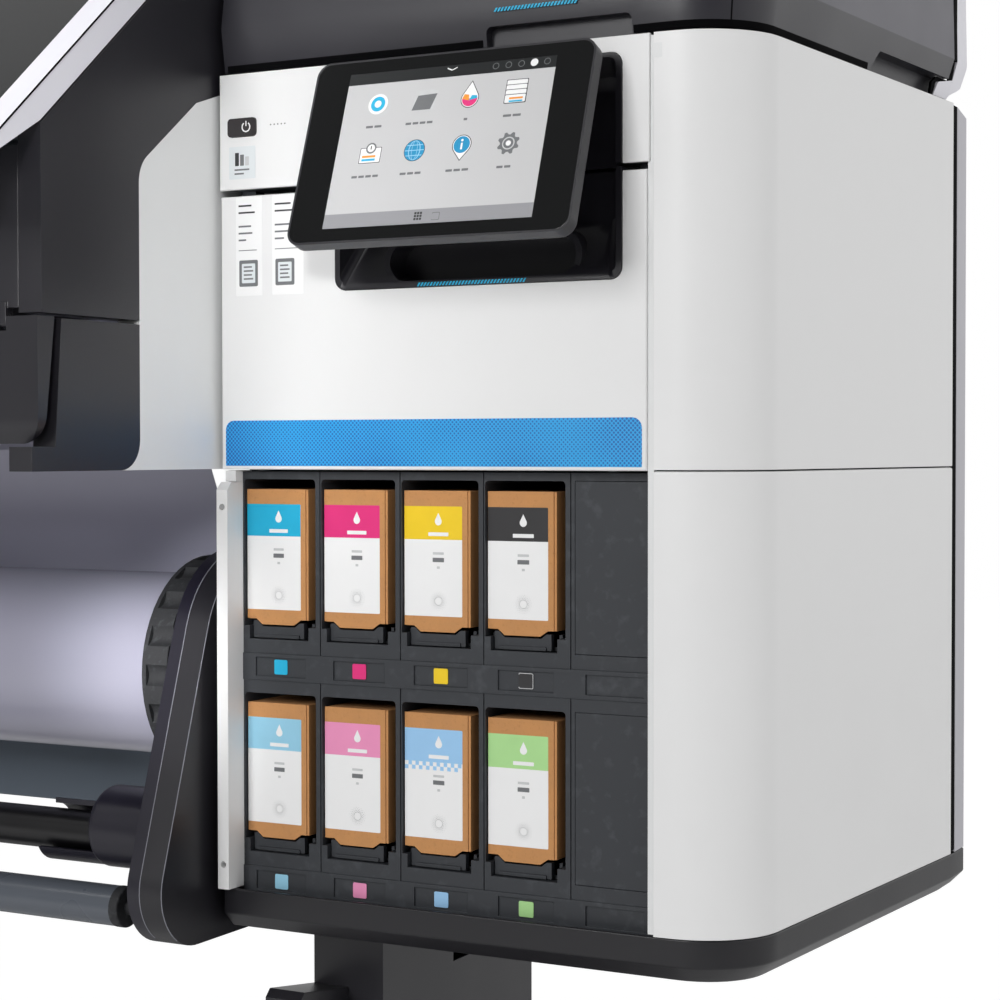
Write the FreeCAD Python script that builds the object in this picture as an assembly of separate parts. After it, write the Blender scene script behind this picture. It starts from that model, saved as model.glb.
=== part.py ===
"""Wide-format roll printer with an internal rotary cutter, as an assembly of separate pieces.

Frame used while modelling: X = 0 is the outer side of the right tower, Y = 0 the front
plane of both towers (+Y runs to the back) and Z = 0 the lower edge of the white panels.
Export moves this frame to the middle of the footprint, on the floor.
Lengths are in millimetres, with X to the right of someone who stands in front.
"""
import math
import os

import FreeCAD
import Part

# ---------------------------------------------------------------- overall sizes
WIDTH = 2583.0
DEPTH = 852.0
HEIGHT = 1402.0
RIGHT_W = 461.0
LEFT_W = 420.0
PANEL_H = 624.0
CAP_H = 150.0
FEET_AHEAD = 290.0
TOWER_D = 430.0
COVER_D = 39.0
SIDE_D = TOWER_D - COVER_D
CORNER_R = 60.0
SIDE_TAPER = 32.0
SKIN = 3.0
SHEET = 3.0
PLATE = 6.0
GAP = 2.0
RUNNING = 0.05
SLACK = 0.3

BASE_Z = HEIGHT - CAP_H - PANEL_H
LEFT_IN = -WIDTH + LEFT_W
CENTRE_X = -(RIGHT_W - LEFT_IN) / 2
BACK_Y = DEPTH - FEET_AHEAD

# ---------------------------------------------------------------- stand
LEG_OUT = 377.0
LEG_W = 65.0
LEG_Y = 100.0
LEG_D = 261.0
LEG_WALL = 3.0
LEG_SLOT_L = 30.0
LEG_SLOT_H = 10.0
LEG_SLOT_Z = -94.0
FOOT_W = 90.0
FOOT_H = 55.0
PAD_H = 26.0
PAD_R = 32.0
PAD_PLATE = 10.0
STEM_R = 8.0
PAD_INSET = 55.0
STAND_BEAM_H = 80.0
STAND_BEAM_D = 60.0
STAND_BEAM_Z = -330.0
GUSSET_AHEAD = 70.0
GUSSET_TOP = -84.0
GUSSET_T = 6.0
FLOOR_T = 6.0

# ---------------------------------------------------------------- roll arms and rollers
ARM_GAP = 9.0
ARM_OUTER_T = 20.5
ARM_INNER_T = 11.5
ARM_LOW = (-21.0, 4.0)
ARM_LOW_R = 45.0
ARM_TOP = (75.0, 176.0)
ARM_TOP_R = 84.0
ARM_TAIL_Y = 300.0
ARM_TAIL_H = 58.0
ARM_BRACKET_Y = 205.0
ARM_BRACKET_Z = -75.0
ROLL_AXIS = (80.0, 162.0)
ROLL_R = 74.8
CORE_R = 44.0
CORE_WALL = 6.0
HUB_R = 90.0
HUB_T = 24.0
HUB_GAP = 4.0
HUB_LOBES = 18
HUB_LOBE_R = 11.0
HUB_LOBE_OUT = 6.8
HUB_BOSS_L = 60.0
HUB_SHAFT_R = 12.0
TUBE_AXIS = (-15.0, 36.0)
TUBE_R = 16.3
TUBE_SHAFT_R = 10.0
TUBE_HUB_R = 32.0
TUBE_HUB_L = 55.0
TUBE_HUB_RISE = 7.0
ROLLER_AXIS = (-35.0, -15.0)
ROLLER_R = 15.6
ROLLER_RING_T = 8.0
ROLLER_SHAFT_R = 6.0
ROLLER_STUB = 22.0
SHAFT_SEAT = 9.0
WEB_T = 0.6
GUIDE_BAR_R = 10.0
GUIDE_BAR_SET = 1.2
WEB_BEND = (79.0, 338.0)
CROSS_Y = 178.0
CROSS_T = 8.0
CROSS_Z = 18.0
CROSS_H = 112.0
SCREW_R = 5.0
SCREW_H = 2.4
SCREW_END = 110.0
SCREW_COUNT = 4
SCREW_Z = 41.0

# ---------------------------------------------------------------- right tower
CHASSIS_Y = 30.0
POST_REACH = 4.0
SEAT_W = 12.0
DECK_Z = 530.0
WALL_X = 455.0
BAY_W = 352.0
BAY_X = 99.0
BAY_TOP = 321.0
RACK_Y = 15.0
RACK_D = 315.0
RACK_LIP_Z = -5.0
COLUMNS = 5
FRAME_LEFT = 1.2
FRAME_RIGHT = 4.2
SLOT_R = 3.0
SLOT_TOP = 315.2
SLOT_FLOOR = 192.0
LEDGE_H = 10.0
LEDGE_LEFT = 4.5
LEDGE_RIGHT = 6.5
SLOT_D = 292.0
ROW_PITCH = 164.8
BOX_W = 57.6
BOX_H = 100.4
BOX_SET = 5.0
BOX_D = 272.0
TRAY_H = 14.8
TRAY_GAP = 0.7
STRIP_Z = 160.2
STRIP_H = 21.0
STRIP_T = 4.0
STRIP_PROUD = 1.0
LABEL_SET = 12.0
LABEL_W = 45.3
LABEL_D = 1.5
LABEL_RIM = 3.3
COVER_T = 3.0
COVER_RIM = 3.5
SEAM = 0.8
DOOR_LEFT = 460.0
DOOR_RIGHT = 104.0
DOOR_LOW = 322.8
DOOR_TOP = 531.0
DOOR_T = 18.0
DOOR_AXIS = (9.0, 329.0)
UPPER_LEFT = 461.0
UPPER_RIGHT = 102.0
UPPER_LOW = 536.0
POCKET_LEFT = 356.5
POCKET_RIGHT = 122.5
POCKET_LOW = 456.0
POCKET_TOP = 613.0
POCKET_D = 24.0
POCKET_WALL = 4.0
POCKET_RIM = 1.2
POCKET_R = 9.0
DISH_R = 6.0
POCKET_SIDE = 13.0
POCKET_SLOPE = 44.0
POCKET_FLANGE = 6.0
GROOVE_LEFT = 310.7
GROOVE_RIGHT = 159.0
GROOVE_Z = 475.0
GROOVE_R = 14.0
GROOVE_D = 26.0
BUTTON_W = 25.8
BUTTON_H = 14.0
BUTTON_LEFT = 452.8
BUTTON_Z = 576.0
BUTTON_PROUD = 1.2
BUTTON_TRAVEL = 1.5
BUTTON_R = 3.0
BUTTON_BACK = 8.0
POST_W = 10.0
POST_PROUD = 6.0
POST_TOP = 313.0
POST_HOLE_R = 2.6
POST_HOLE_Z = 19.0
BACK_T = 4.0
STRIP_W = 4.0
UPRIGHT_W = 60.0
RIB_SET = 100.0
RIB_LOW = 40.0
RIB_NECK = 5.0
PANEL_SPLIT = 323.5
SKIRT_H = 32.0
SKIRT_WALL = 14.0
SKIRT_CHAMFER = 12.0
SKIRT_INSET = 2.0
REAR_GAP = 11.0
REAR_EASE = 8.0
REAR_DROP = 6.0
REAR_SINK = 1.5
TOP_RISE = 10.0
TOP_SLANT_H = 17.0
TOP_SLANT_D = 9.0
SCREEN = (-239.5, -51.8, 550.8)
SCREEN_W = 224.3
SCREEN_H = 143.6
SCREEN_T = 13.0
SCREEN_R = 11.0
GLASS_T = 1.6
SCREEN_TILT = 19.0
PIVOT_BACK = 27.0
PIVOT_R = 3.0
EAR_R = 8.0
EAR_W = 8.0
LUG_W = 28.0

# ---------------------------------------------------------------- top cap
CAP_CREASE = 660.0
CAP_LAP = 1.0
CAP_DEPTH = SIDE_D + CAP_LAP
CAP_WALL = 4.0
CAP_DRAFT = 2.0
CAP_LEAN = 16.0
CAP_UNDERCUT = 5.0
CAP_AXIS = (CAP_DEPTH - 4.0, 764.0)
CAP_SIDE_Y = 40.0
CAP_ROOF = 29.0
CAP_GRIP_LEFT = 231.0
CAP_GRIP_RIGHT = 117.0
CAP_GRIP_H = 14.0
CAP_GRIP_D = 12.0
CAP_HAND_Y = 222.0
CAP_HAND_SLANT = 17.0
CAP_HAND_H = 17.0
CAP_HAND_D = 14.0
CAP_HAND_R = 5.0
CAP_FOOT_SET = 7.0
TONGUE_SET = 34.0
TONGUE_SLANT = 7.0
TONGUE_T = 4.0
TONGUE_LOW = 3.5
TONGUE_R = 6.0
TONGUE_BACK = 5.0

# ---------------------------------------------------------------- centre module
END_GAP = 4.0
END_T = 20.0
FRONT_Y = -204.0
GREY_Y = -95.0
GREY_TOP = 610.0
GREY_LEDGE_Y = 6.0
GREY_CREST = (-24.0, 600.0)
GREY_SHOULDER_Z = 545.0
GREY_EASE_R = 26.0
GREY_FOOT_R = 22.0
GREY_BACK = 175.0
DARK_TOP = 744.5
DARK_FRONT = -215.0
DARK_STEP = 3.0
DARK_SLANT = 7.0
ARC_STEPS = 8
MODULE_LOW = 323.0
HOUSING_LOW = 436.0
HOUSING_TOP = 548.0
HOUSING_WALL = 4.0
HOUSING_LIP = 16.0
VENT_COLUMNS = 8
VENT_PITCH = 28.0
VENT_W = 10.0
VENT_RIB = 12.0
PAD_Y = 40.0
PAD_Z = 400.0
PAD_D = 70.0
WINDOW_T = 20.0
WINDOW_SILL = -246.0
WINDOW_HEAD = -6.0
WINDOW_TOP = 770.0
WINDOW_FRONT = -288.0
WINDOW_BACK = 64.0
LID_R = 18.0
WINDOW_BAR = 25.0
WINDOW_FOOT = 60.0
PANE_T = 4.0
PANE_SET = 2.0
WINDOW_AXIS = (56.0, 760.0)
WINDOW_HINGE_SET = 179.0
WINDOW_BEND_Y = 2.0
WINDOW_EDGE_Z = 514.0
WINDOW_LIP_Z = 510.0
WINDOW_LIP_D = 6.0
WINDOW_INNER_SILL = 538.0
WINDOW_INNER_FRONT = 563.0
WINDOW_INNER_BEND = 10.5
FLAP_AXIS = (-202.0, 426.0)
FLAP_TOP = 430.0
FLAP_LOW = 342.0
FLAP_D = 18.0
FLAP_BLOCK = 20.0
FLAP_HINGE_SET = 37.0
FLAP_CORNER_R = 19.0
FLAP_NOSE = 8.0
PLATEN_Y = -60.0
PLATEN_BACK = 134.0
PLATEN_Z = 574.0
PLATEN_T = 14.0
UNDER_Y = -40.0
UNDER_D = 150.0
UNDER_Z = 480.0
CUT_SLOT_W = 4.0
CUT_SLOT_D = 4.0
DRIVE_AXIS = (150.0, 560.0)
DRIVE_R = 14.0
DRIVE_SHAFT_R = 6.0
PINCH_R = 6.0
PINCH_SHAFT_R = 3.0
PINCH_COUNT = 8
PINCH_SET = 40.0
ARM_HALF = 4.0
ARM_TOE = 5.0
ARM_SOLE = 21.0
ARM_KNEE = 30.0
ARM_LIFT = 12.0
ARM_D = 22.0
ARM_BACK = 33.0
WHEEL_L = 20.0
BEAM_Y = 180.0
BEAM_Z = 440.0
BEAM_H = 90.0
CARRIER_T = 6.0
CARRIER_END = 60.0
CARRIER_TOP = 740.0
RAIL_Y = 330.0
RAIL_D = 42.0
RAIL_Z = 640.0
RAIL_H = 50.0
RAIL_INSET = 70.0
CARRIAGE_W = 280.0
CARRIAGE_X = 430.0
CARRIAGE_Y = 65.0
CARRIAGE_Z = 592.0
HEAD_Y = 75.0
HEAD_D = 50.0
HEAD_LOW = 578.5
HEAD_COUNT = 4
HEAD_SET = 7.0
HOOK_T = 12.0
BELT_Z = 708.0
BELT_H = 8.0
BELT_T = 1.6
PULLEY_R = 14.0
PULLEY_Y = 350.0
CUTTER_RAIL_Y = 26.0
CUTTER_RAIL_D = 12.0
CUTTER_RAIL_Z = 604.0
CUTTER_RAIL_H = 14.0
CUTTER_AXIS_Y = 0.0
CUTTER_BODY_Y = 3.0
CUTTER_W = 60.0
CUTTER_X = 545.5
BLADE_SHAFT_R = 4.0
BLADE_R = 17.0
BLADE_T = 1.0


def vec(x, y, z):
    return FreeCAD.Vector(x, y, z)


def box(x0, x1, y0, y1, z0, z1):
    """Block between two corners."""
    return Part.makeBox(x1 - x0, y1 - y0, z1 - z0, vec(x0, y0, z0))


def rod_x(x0, x1, at, radius):
    """Round bar along X, with its axis at (y, z)."""
    return Part.makeCylinder(radius, x1 - x0, vec(x0, at[0], at[1]), vec(1, 0, 0))


def rod_y(y0, y1, x, z, radius):
    return Part.makeCylinder(radius, y1 - y0, vec(x, y0, z), vec(0, 1, 0))


def rod_z(z0, z1, x, y, radius):
    return Part.makeCylinder(radius, z1 - z0, vec(x, y, z0), vec(0, 0, 1))


def prism_x(points, x0, x1):
    """Outline of (y, z) points, drawn along X."""
    wire = Part.makePolygon([vec(x0, y, z) for y, z in points + points[:1]])
    return Part.Face(wire).extrude(vec(x1 - x0, 0, 0))


def prism_y(points, y0, y1):
    """Outline of (x, z) points, drawn along Y."""
    wire = Part.makePolygon([vec(x, y0, z) for x, z in points + points[:1]])
    return Part.Face(wire).extrude(vec(0, y1 - y0, 0))


def round_edges(shape, radius, wanted):
    """Fillet the edges that the test picks."""
    picked = [edge for edge in shape.Edges if wanted(edge)]
    return shape.makeFillet(radius, picked)


def along(edge, axis):
    """True for a straight edge that runs along one axis (0, 1 or 2)."""
    if not isinstance(edge.Curve, Part.Line):
        return False
    direction = edge.Curve.Direction
    return abs(direction[axis]) > 0.999


def fuse(first, *others):
    return first.fuse(list(others)).removeSplitter()


def cut(first, *others):
    return first.cut(list(others))


def mirrored(shape):
    """The same piece at the other end of the print zone."""
    return shape.mirror(vec(CENTRE_X, 0, 0), vec(1, 0, 0))


def pair(shape):
    return Part.makeCompound([shape, mirrored(shape)])


def flip(x):
    return 2 * CENTRE_X - x


def link(a, a_r, b, b_r):
    """Outline around two circles: (y, z) centres and radii, joined by their tangents."""
    dy = b[0] - a[0]
    dz = b[1] - a[1]
    length = math.hypot(dy, dz)
    base = math.atan2(dz, dy)
    spread = math.acos((a_r - b_r) / length)
    points = []
    for centre, radius, start, end in (
        (a, a_r, base + spread, base + 2 * math.pi - spread),
        (b, b_r, base - spread, base + spread),
    ):
        for step in range(25):
            angle = start + (end - start) * step / 24
            points.append((centre[0] + radius * math.cos(angle), centre[1] + radius * math.sin(angle)))
    return points


# ================================================================ stand
FLOOR_Z = -BASE_Z
FOOT_LOW = FLOOR_Z + PAD_H
FOOT_TOP = FOOT_LOW + FOOT_H
LEG_IN = LEG_OUT + LEG_W
LEG_MID = (LEG_OUT + LEG_IN) / 2


def right_leg():
    """Folded-steel column, open at both ends, with a cable slot in its outer wall."""
    outer = box(-LEG_IN, -LEG_OUT, LEG_Y, LEG_Y + LEG_D, FOOT_TOP, -FLOOR_T)
    inner = box(-LEG_IN + LEG_WALL, -LEG_OUT - LEG_WALL, LEG_Y + LEG_WALL, LEG_Y + LEG_D - LEG_WALL,
                FOOT_TOP, -FLOOR_T)
    middle = LEG_Y + LEG_D / 2
    slot = box(-LEG_OUT - LEG_WALL, -LEG_OUT, middle - LEG_SLOT_L / 2, middle + LEG_SLOT_L / 2,
               LEG_SLOT_Z, LEG_SLOT_Z + LEG_SLOT_H)
    return cut(outer, inner, slot)


def foot_spars():
    """Channels on the floor, one under each leg, open downwards."""
    outer = box(-LEG_MID - FOOT_W / 2, -LEG_MID + FOOT_W / 2, BACK_Y - DEPTH, BACK_Y, FOOT_LOW, FOOT_TOP)
    outer = round_edges(outer, FOOT_W / 6, lambda edge: along(edge, 2))
    inner = box(-LEG_MID - FOOT_W / 2 + LEG_WALL, -LEG_MID + FOOT_W / 2 - LEG_WALL,
                BACK_Y - DEPTH + FOOT_W / 6, BACK_Y - FOOT_W / 6, FOOT_LOW, FOOT_TOP - LEG_WALL)
    return pair(cut(outer, inner))


def levelling_feet():
    """Pads on threaded stems that carry the spars from inside."""
    feet = []
    for y in (BACK_Y - DEPTH + PAD_INSET, BACK_Y - PAD_INSET):
        pad = rod_z(FLOOR_Z, FLOOR_Z + PAD_PLATE, -LEG_MID, y, PAD_R)
        pad = pad.makeChamfer(PAD_PLATE / 4, [edge for edge in pad.Edges if edge.BoundBox.ZMin > FLOOR_Z + 1])
        stem = rod_z(FLOOR_Z + PAD_PLATE, FOOT_TOP - LEG_WALL, -LEG_MID, y, STEM_R)
        nut = rod_z(FOOT_TOP - LEG_WALL - 2 * STEM_R, FOOT_TOP - LEG_WALL, -LEG_MID, y, 2 * STEM_R)
        foot = fuse(pad, stem, nut)
        feet += [foot, mirrored(foot)]
    return Part.makeCompound(feet)


def stand_beam():
    """Cross tube between the two legs."""
    middle = LEG_Y + LEG_D / 2
    outer = box(flip(-LEG_IN), -LEG_IN, middle - STAND_BEAM_D / 2, middle + STAND_BEAM_D / 2,
                STAND_BEAM_Z, STAND_BEAM_Z + STAND_BEAM_H)
    inner = box(flip(-LEG_IN), -LEG_IN, middle - STAND_BEAM_D / 2 + LEG_WALL,
                middle + STAND_BEAM_D / 2 - LEG_WALL,
                STAND_BEAM_Z + LEG_WALL, STAND_BEAM_Z + STAND_BEAM_H - LEG_WALL)
    return cut(outer, inner)


def leg_gussets():
    """Plates that stiffen the front of each leg down to its foot."""
    outline = [
        (LEG_Y, GUSSET_TOP - GUSSET_AHEAD / 7),
        (LEG_Y - GUSSET_AHEAD + GUSSET_T, GUSSET_TOP),
        (LEG_Y - GUSSET_AHEAD, GUSSET_TOP - GUSSET_T),
        (LEG_Y - GUSSET_AHEAD, FOOT_TOP),
        (LEG_Y, FOOT_TOP),
    ]
    return pair(prism_x(outline, -LEG_IN, -LEG_IN + LEG_W / 2))


# ================================================================ arms, roll and rollers
ARM_OUT_X = RIGHT_W + ARM_GAP
ARM_SPLIT_X = ARM_OUT_X + ARM_OUTER_T
ARM_IN_X = ARM_SPLIT_X + ARM_INNER_T
ARM_FOOT_Z = ARM_LOW[1] - ARM_LOW_R


def arm_plate(x_out, x_in):
    """Tapered plate with a round foot, a round head and a tail along its lower edge."""
    blade = prism_x(link(ARM_LOW, ARM_LOW_R, ARM_TOP, ARM_TOP_R), -x_in, -x_out)
    tail = box(-x_in, -x_out, ARM_LOW[0], ARM_TAIL_Y, ARM_FOOT_Z, ARM_FOOT_Z + ARM_TAIL_H)
    return fuse(blade, tail)


def roll_arms_outer():
    """Outer shells of the two roll arms."""
    return pair(arm_plate(ARM_OUT_X, ARM_SPLIT_X))


def roll_arms_inner():
    """Inner shells, bored for the roll shaft and the guide roller."""
    plate = arm_plate(ARM_SPLIT_X, ARM_IN_X)
    plate = cut(
        plate,
        rod_x(-ARM_IN_X, -ARM_IN_X + SHAFT_SEAT, ROLL_AXIS, HUB_SHAFT_R + RUNNING),
        rod_x(-ARM_IN_X, -ARM_IN_X + SHAFT_SEAT, ROLLER_AXIS, ROLLER_SHAFT_R + RUNNING),
    )
    return pair(plate)


def arm_brackets():
    """Blocks that bolt the arm tails to the legs, below the towers."""
    return pair(box(-ARM_OUT_X, -LEG_IN, ARM_BRACKET_Y, ARM_TAIL_Y, ARM_BRACKET_Z, -SKIRT_H - 1))


def tube_hubs():
    """Bearing housings of the take-up tube, with a saddle that keeps the tube in."""
    raised = (TUBE_AXIS[0], TUBE_AXIS[1] + TUBE_HUB_RISE)
    inner = ARM_IN_X + TUBE_HUB_L
    body = rod_x(-inner, -ARM_IN_X, raised, TUBE_HUB_R)
    body = body.makeFillet(TUBE_HUB_R / 5, [edge for edge in body.Edges if edge.BoundBox.XMax < -inner + 1])
    bore = rod_x(-inner, -ARM_IN_X, TUBE_AXIS, TUBE_SHAFT_R + RUNNING)
    saddle_r = TUBE_R + CORE_WALL
    saddle = rod_x(-inner - TUBE_HUB_L, -inner + 1, TUBE_AXIS, saddle_r + GAP)
    hollow = rod_x(-inner - TUBE_HUB_L - 1, -inner, TUBE_AXIS, saddle_r - GAP)
    front = box(-inner - TUBE_HUB_L - 1, -inner, TUBE_AXIS[0] - 2 * saddle_r, TUBE_AXIS[0],
                TUBE_AXIS[1] - saddle_r / 2, TUBE_AXIS[1] + 2 * saddle_r)
    return pair(cut(fuse(body, saddle), hollow, front, bore))


def take_up_tube():
    """Tube that winds up printed media, with a turned journal at each end."""
    inner = ARM_IN_X + TUBE_HUB_L + SLACK
    tube = rod_x(flip(-inner), -inner, TUBE_AXIS, TUBE_R)
    tube = cut(tube, rod_x(flip(-inner) + TUBE_R, -inner - TUBE_R, TUBE_AXIS, TUBE_R - CORE_WALL / 2))
    journal = rod_x(-inner, -ARM_IN_X - SLACK, TUBE_AXIS, TUBE_SHAFT_R)
    return fuse(tube, journal, mirrored(journal))


def guide_roller():
    """Roller ahead of the take-up tube."""
    end = ARM_IN_X + ROLLER_STUB + ROLLER_RING_T
    return rod_x(flip(-end), -end, ROLLER_AXIS, ROLLER_R)


def roller_ends():
    """End rings of the guide roller, each with a stub that turns in an arm."""
    inner = ARM_IN_X + ROLLER_STUB
    ring = rod_x(-inner - ROLLER_RING_T, -inner, ROLLER_AXIS, ROLLER_R + SLACK)
    ring = ring.makeFillet(SLACK * 5, [edge for edge in ring.Edges if edge.BoundBox.XMin > -inner - 1])
    stub = rod_x(-inner, -ARM_IN_X + SHAFT_SEAT - SLACK, ROLLER_AXIS, ROLLER_SHAFT_R)
    return pair(fuse(ring, stub))


HUB_OUT_X = ARM_IN_X + HUB_GAP
HUB_IN_X = HUB_OUT_X + HUB_T


def roll_hubs():
    """Scalloped hand wheels that plug into the roll core and turn in the arms."""
    wheel = rod_x(-HUB_IN_X, -HUB_OUT_X, ROLL_AXIS, HUB_R)
    scallops = []
    for step in range(HUB_LOBES):
        angle = 2 * math.pi * step / HUB_LOBES
        centre = (ROLL_AXIS[0] + (HUB_R + HUB_LOBE_OUT) * math.cos(angle),
                  ROLL_AXIS[1] + (HUB_R + HUB_LOBE_OUT) * math.sin(angle))
        scallops.append(rod_x(-HUB_IN_X + HUB_T / 6, -HUB_OUT_X, centre, HUB_LOBE_R))
    wheel = cut(wheel, *scallops)
    boss = rod_x(-HUB_IN_X - HUB_BOSS_L, -HUB_IN_X, ROLL_AXIS, CORE_R - CORE_WALL)
    shaft = rod_x(-HUB_OUT_X, -ARM_IN_X + SHAFT_SEAT - SLACK, ROLL_AXIS, HUB_SHAFT_R)
    return pair(fuse(wheel, boss, shaft))


def media_roll():
    """Wound media around its core."""
    roll = rod_x(flip(-HUB_IN_X), -HUB_IN_X, ROLL_AXIS, ROLL_R)
    return cut(roll, rod_x(flip(-HUB_IN_X), -HUB_IN_X, ROLL_AXIS, CORE_R))


def roll_core():
    """Cardboard core."""
    core = rod_x(flip(-HUB_IN_X), -HUB_IN_X, ROLL_AXIS, CORE_R)
    return cut(core, rod_x(flip(-HUB_IN_X), -HUB_IN_X, ROLL_AXIS, CORE_R - CORE_WALL))


def tangent_point(point, centre, radius):
    """Where a line from a point above the roll meets its back (y, z)."""
    dy = point[0] - centre[0]
    dz = point[1] - centre[1]
    reach = math.hypot(dy, dz)
    angle = math.atan2(dz, dy) - math.acos(radius / reach)
    return (centre[0] + radius * math.cos(angle), centre[1] + radius * math.sin(angle))


def thick_line(points, thickness):
    """Closed outline of a strip that follows a line of (y, z) points, with mitred corners."""
    sides = ([], [])
    for index, point in enumerate(points):
        before = points[max(index - 1, 0)]
        after = points[min(index + 1, len(points) - 1)]
        normals = []
        for start, end in ((before, point), (point, after)):
            length = math.hypot(end[0] - start[0], end[1] - start[1])
            if length > 0:
                normals.append(((end[1] - start[1]) / length, (start[0] - end[0]) / length))
        normal = [sum(part) / len(normals) for part in zip(*normals)]
        scale = thickness / 2 / (normal[0] ** 2 + normal[1] ** 2)
        sides[0].append((point[0] + normal[0] * scale, point[1] + normal[1] * scale))
        sides[1].append((point[0] - normal[0] * scale, point[1] - normal[1] * scale))
    return sides[0] + sides[1][::-1]


def arc_points(centre, radius, start, end, steps):
    """Points on an arc of the (y, z) plane, angles in degrees."""
    points = []
    for step in range(steps + 1):
        angle = math.radians(start + (end - start) * step / steps)
        points.append((centre[0] + radius * math.cos(angle), centre[1] + radius * math.sin(angle)))
    return points


def media_web():
    """Media from the back of the roll, up past the guide bar and over the drive roller."""
    leave = tangent_point(WEB_BEND, ROLL_AXIS, ROLL_R + SLACK + WEB_T)
    wrap = DRIVE_R + SLACK + WEB_T / 2
    route = [leave, WEB_BEND] + arc_points(DRIVE_AXIS, wrap, -10, 90, 8)
    route.append((CUTTER_AXIS_Y + CUT_SLOT_W, PLATEN_Z + SLACK + WEB_T / 2))
    return prism_x(thick_line(route, WEB_T), flip(-HUB_IN_X - GAP), -HUB_IN_X - GAP)


def guide_bar():
    """Fixed bar that the media bends around, between the end covers."""
    centre = (WEB_BEND[0] + GUIDE_BAR_R + WEB_T + SLACK + GUIDE_BAR_SET, WEB_BEND[1])
    return rod_x(flip(-END_IN_X), -END_IN_X, centre, GUIDE_BAR_R)


def cross_panel():
    """Sheet-metal beam between the towers, below and behind the roll."""
    outer = box(flip(-WALL_X), -WALL_X, CROSS_Y, CROSS_Y + CROSS_T, CROSS_Z, CROSS_Z + CROSS_H)
    return round_edges(outer, CROSS_T / 3, lambda edge: along(edge, 0))


def panel_screws():
    """Screw heads along the cross panel."""
    heads = []
    x = LEFT_IN + SCREW_END
    pitch = (-RIGHT_W - SCREW_END - x) / (SCREW_COUNT - 1)
    for step in range(SCREW_COUNT):
        heads.append(rod_y(CROSS_Y - SCREW_H, CROSS_Y, x + pitch * step, SCREW_Z, SCREW_R))
    return Part.makeCompound(heads)


# ================================================================ towers
BAY_IN = BAY_X + BAY_W
REAR_WALL_Y = SIDE_D - 7.0
DIVIDER_X = BAY_X - SKIN


def rear_ribs(places):
    """Ribs behind the rear wall that carry the two covers on the back of a tower."""
    ribs = []
    back = TOWER_D - SKIN
    front = SIDE_D + REAR_GAP
    top = HEIGHT - BASE_Z - SKIN
    neck = PANEL_H + 4 * GAP
    for x in places:
        low = box(x, x + SHEET, REAR_WALL_Y + 1, back, RIB_LOW, PANEL_H - RIB_LOW)
        outline = [(front - RIB_NECK, PANEL_H - RIB_LOW - 1), (front - RIB_NECK, neck), (front, neck + RIB_NECK),
                   (front, top), (back, top), (back, neck + 3 * RIB_NECK), (front - SLACK, neck),
                   (front - SLACK, PANEL_H - RIB_LOW - 1)]
        ribs.append(fuse(low, prism_x(outline, x, x + SHEET)))
    return ribs


def corner_trim(width):
    """What a carcass loses to stay inside the panels: round the corner and along the outer side."""
    reach = SIDE_TAPER + CORNER_R
    inset = SKIN + GAP
    low = -CORNER_R
    corner = box(-reach, 1, -1, CORNER_R, low, PANEL_H + 1)
    corner = cut(corner, tower_block(width, inset, inset, SIDE_D, low - 1, PANEL_H + 2, CORNER_R - inset))
    side = box(-reach, 1, CORNER_R, SIDE_D, low, PANEL_H + 1)
    side = cut(side, tower_block(width, SKIN, SKIN, SIDE_D, low - 1, PANEL_H + 2, CORNER_R - SKIN))
    return fuse(corner, side)


def right_chassis():
    """Sheet-steel carcass of the right tower, with a deck under the carriage bay."""
    floor = box(-WALL_X, -SHEET, CHASSIS_Y, REAR_WALL_Y + SHEET, -FLOOR_T, 0)
    back = box(-WALL_X, -SKIN, REAR_WALL_Y, REAR_WALL_Y + BACK_T, 0, PANEL_H)
    left = box(-WALL_X, -WALL_X + SHEET, CHASSIS_Y, REAR_WALL_Y, 0, DECK_Z)
    divider = box(-DIVIDER_X, -DIVIDER_X + SHEET, CHASSIS_Y, REAR_WALL_Y, 0, DECK_Z)
    shelf = box(-WALL_X, -DIVIDER_X, CHASSIS_Y, REAR_WALL_Y, BAY_TOP + 1, BAY_TOP + 1 + SHEET)
    deck = box(-WALL_X, -SKIN, CHASSIS_Y, REAR_WALL_Y, DECK_Z, DECK_Z + SHEET)
    y0 = DOOR_T + POST_REACH
    y1 = CHASSIS_Y + POST_REACH
    low = UPPER_LOW + 1
    post_a = box(-WALL_X, -POCKET_LEFT, SKIN, y1, low, PANEL_H)
    seat_a = box(-WALL_X, -WALL_X + SEAT_W, y0, y1, DECK_Z, low)
    post_b = box(-POCKET_RIGHT, -UPPER_RIGHT - GAP, SKIN, y1, low, PANEL_H)
    seat_b = box(-POCKET_RIGHT + POCKET_WALL, -UPPER_RIGHT - GAP, y0, y1, DECK_Z, low)
    button_room = box(-WALL_X, -BUTTON_LEFT + BUTTON_W + GAP, SKIN, BUTTON_BACK + BUTTON_TRAVEL + SLACK,
                      BUTTON_Z - GAP, BUTTON_Z + BUTTON_H + GAP)
    strip = box(-SKIN - STRIP_W, -SKIN, REAR_WALL_Y, SIDE_D + REAR_GAP, 0, PANEL_H)
    ears = hinge_ears(DOOR_HINGES, DOOR_AXIS, CHASSIS_Y + 1, EAR_HALF, DOOR_EAR_R, PIN_R, DOOR_AXIS[1] - BAY_TOP - 1)
    ribs = rear_ribs((-WALL_X + RIB_SET, -RIB_SET))
    body = fuse(floor, back, left, divider, shelf, deck, post_a, seat_a, post_b, seat_b, strip, *ribs)
    return cut(fuse(body, *ears), button_room, corner_trim(RIGHT_W))


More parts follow.
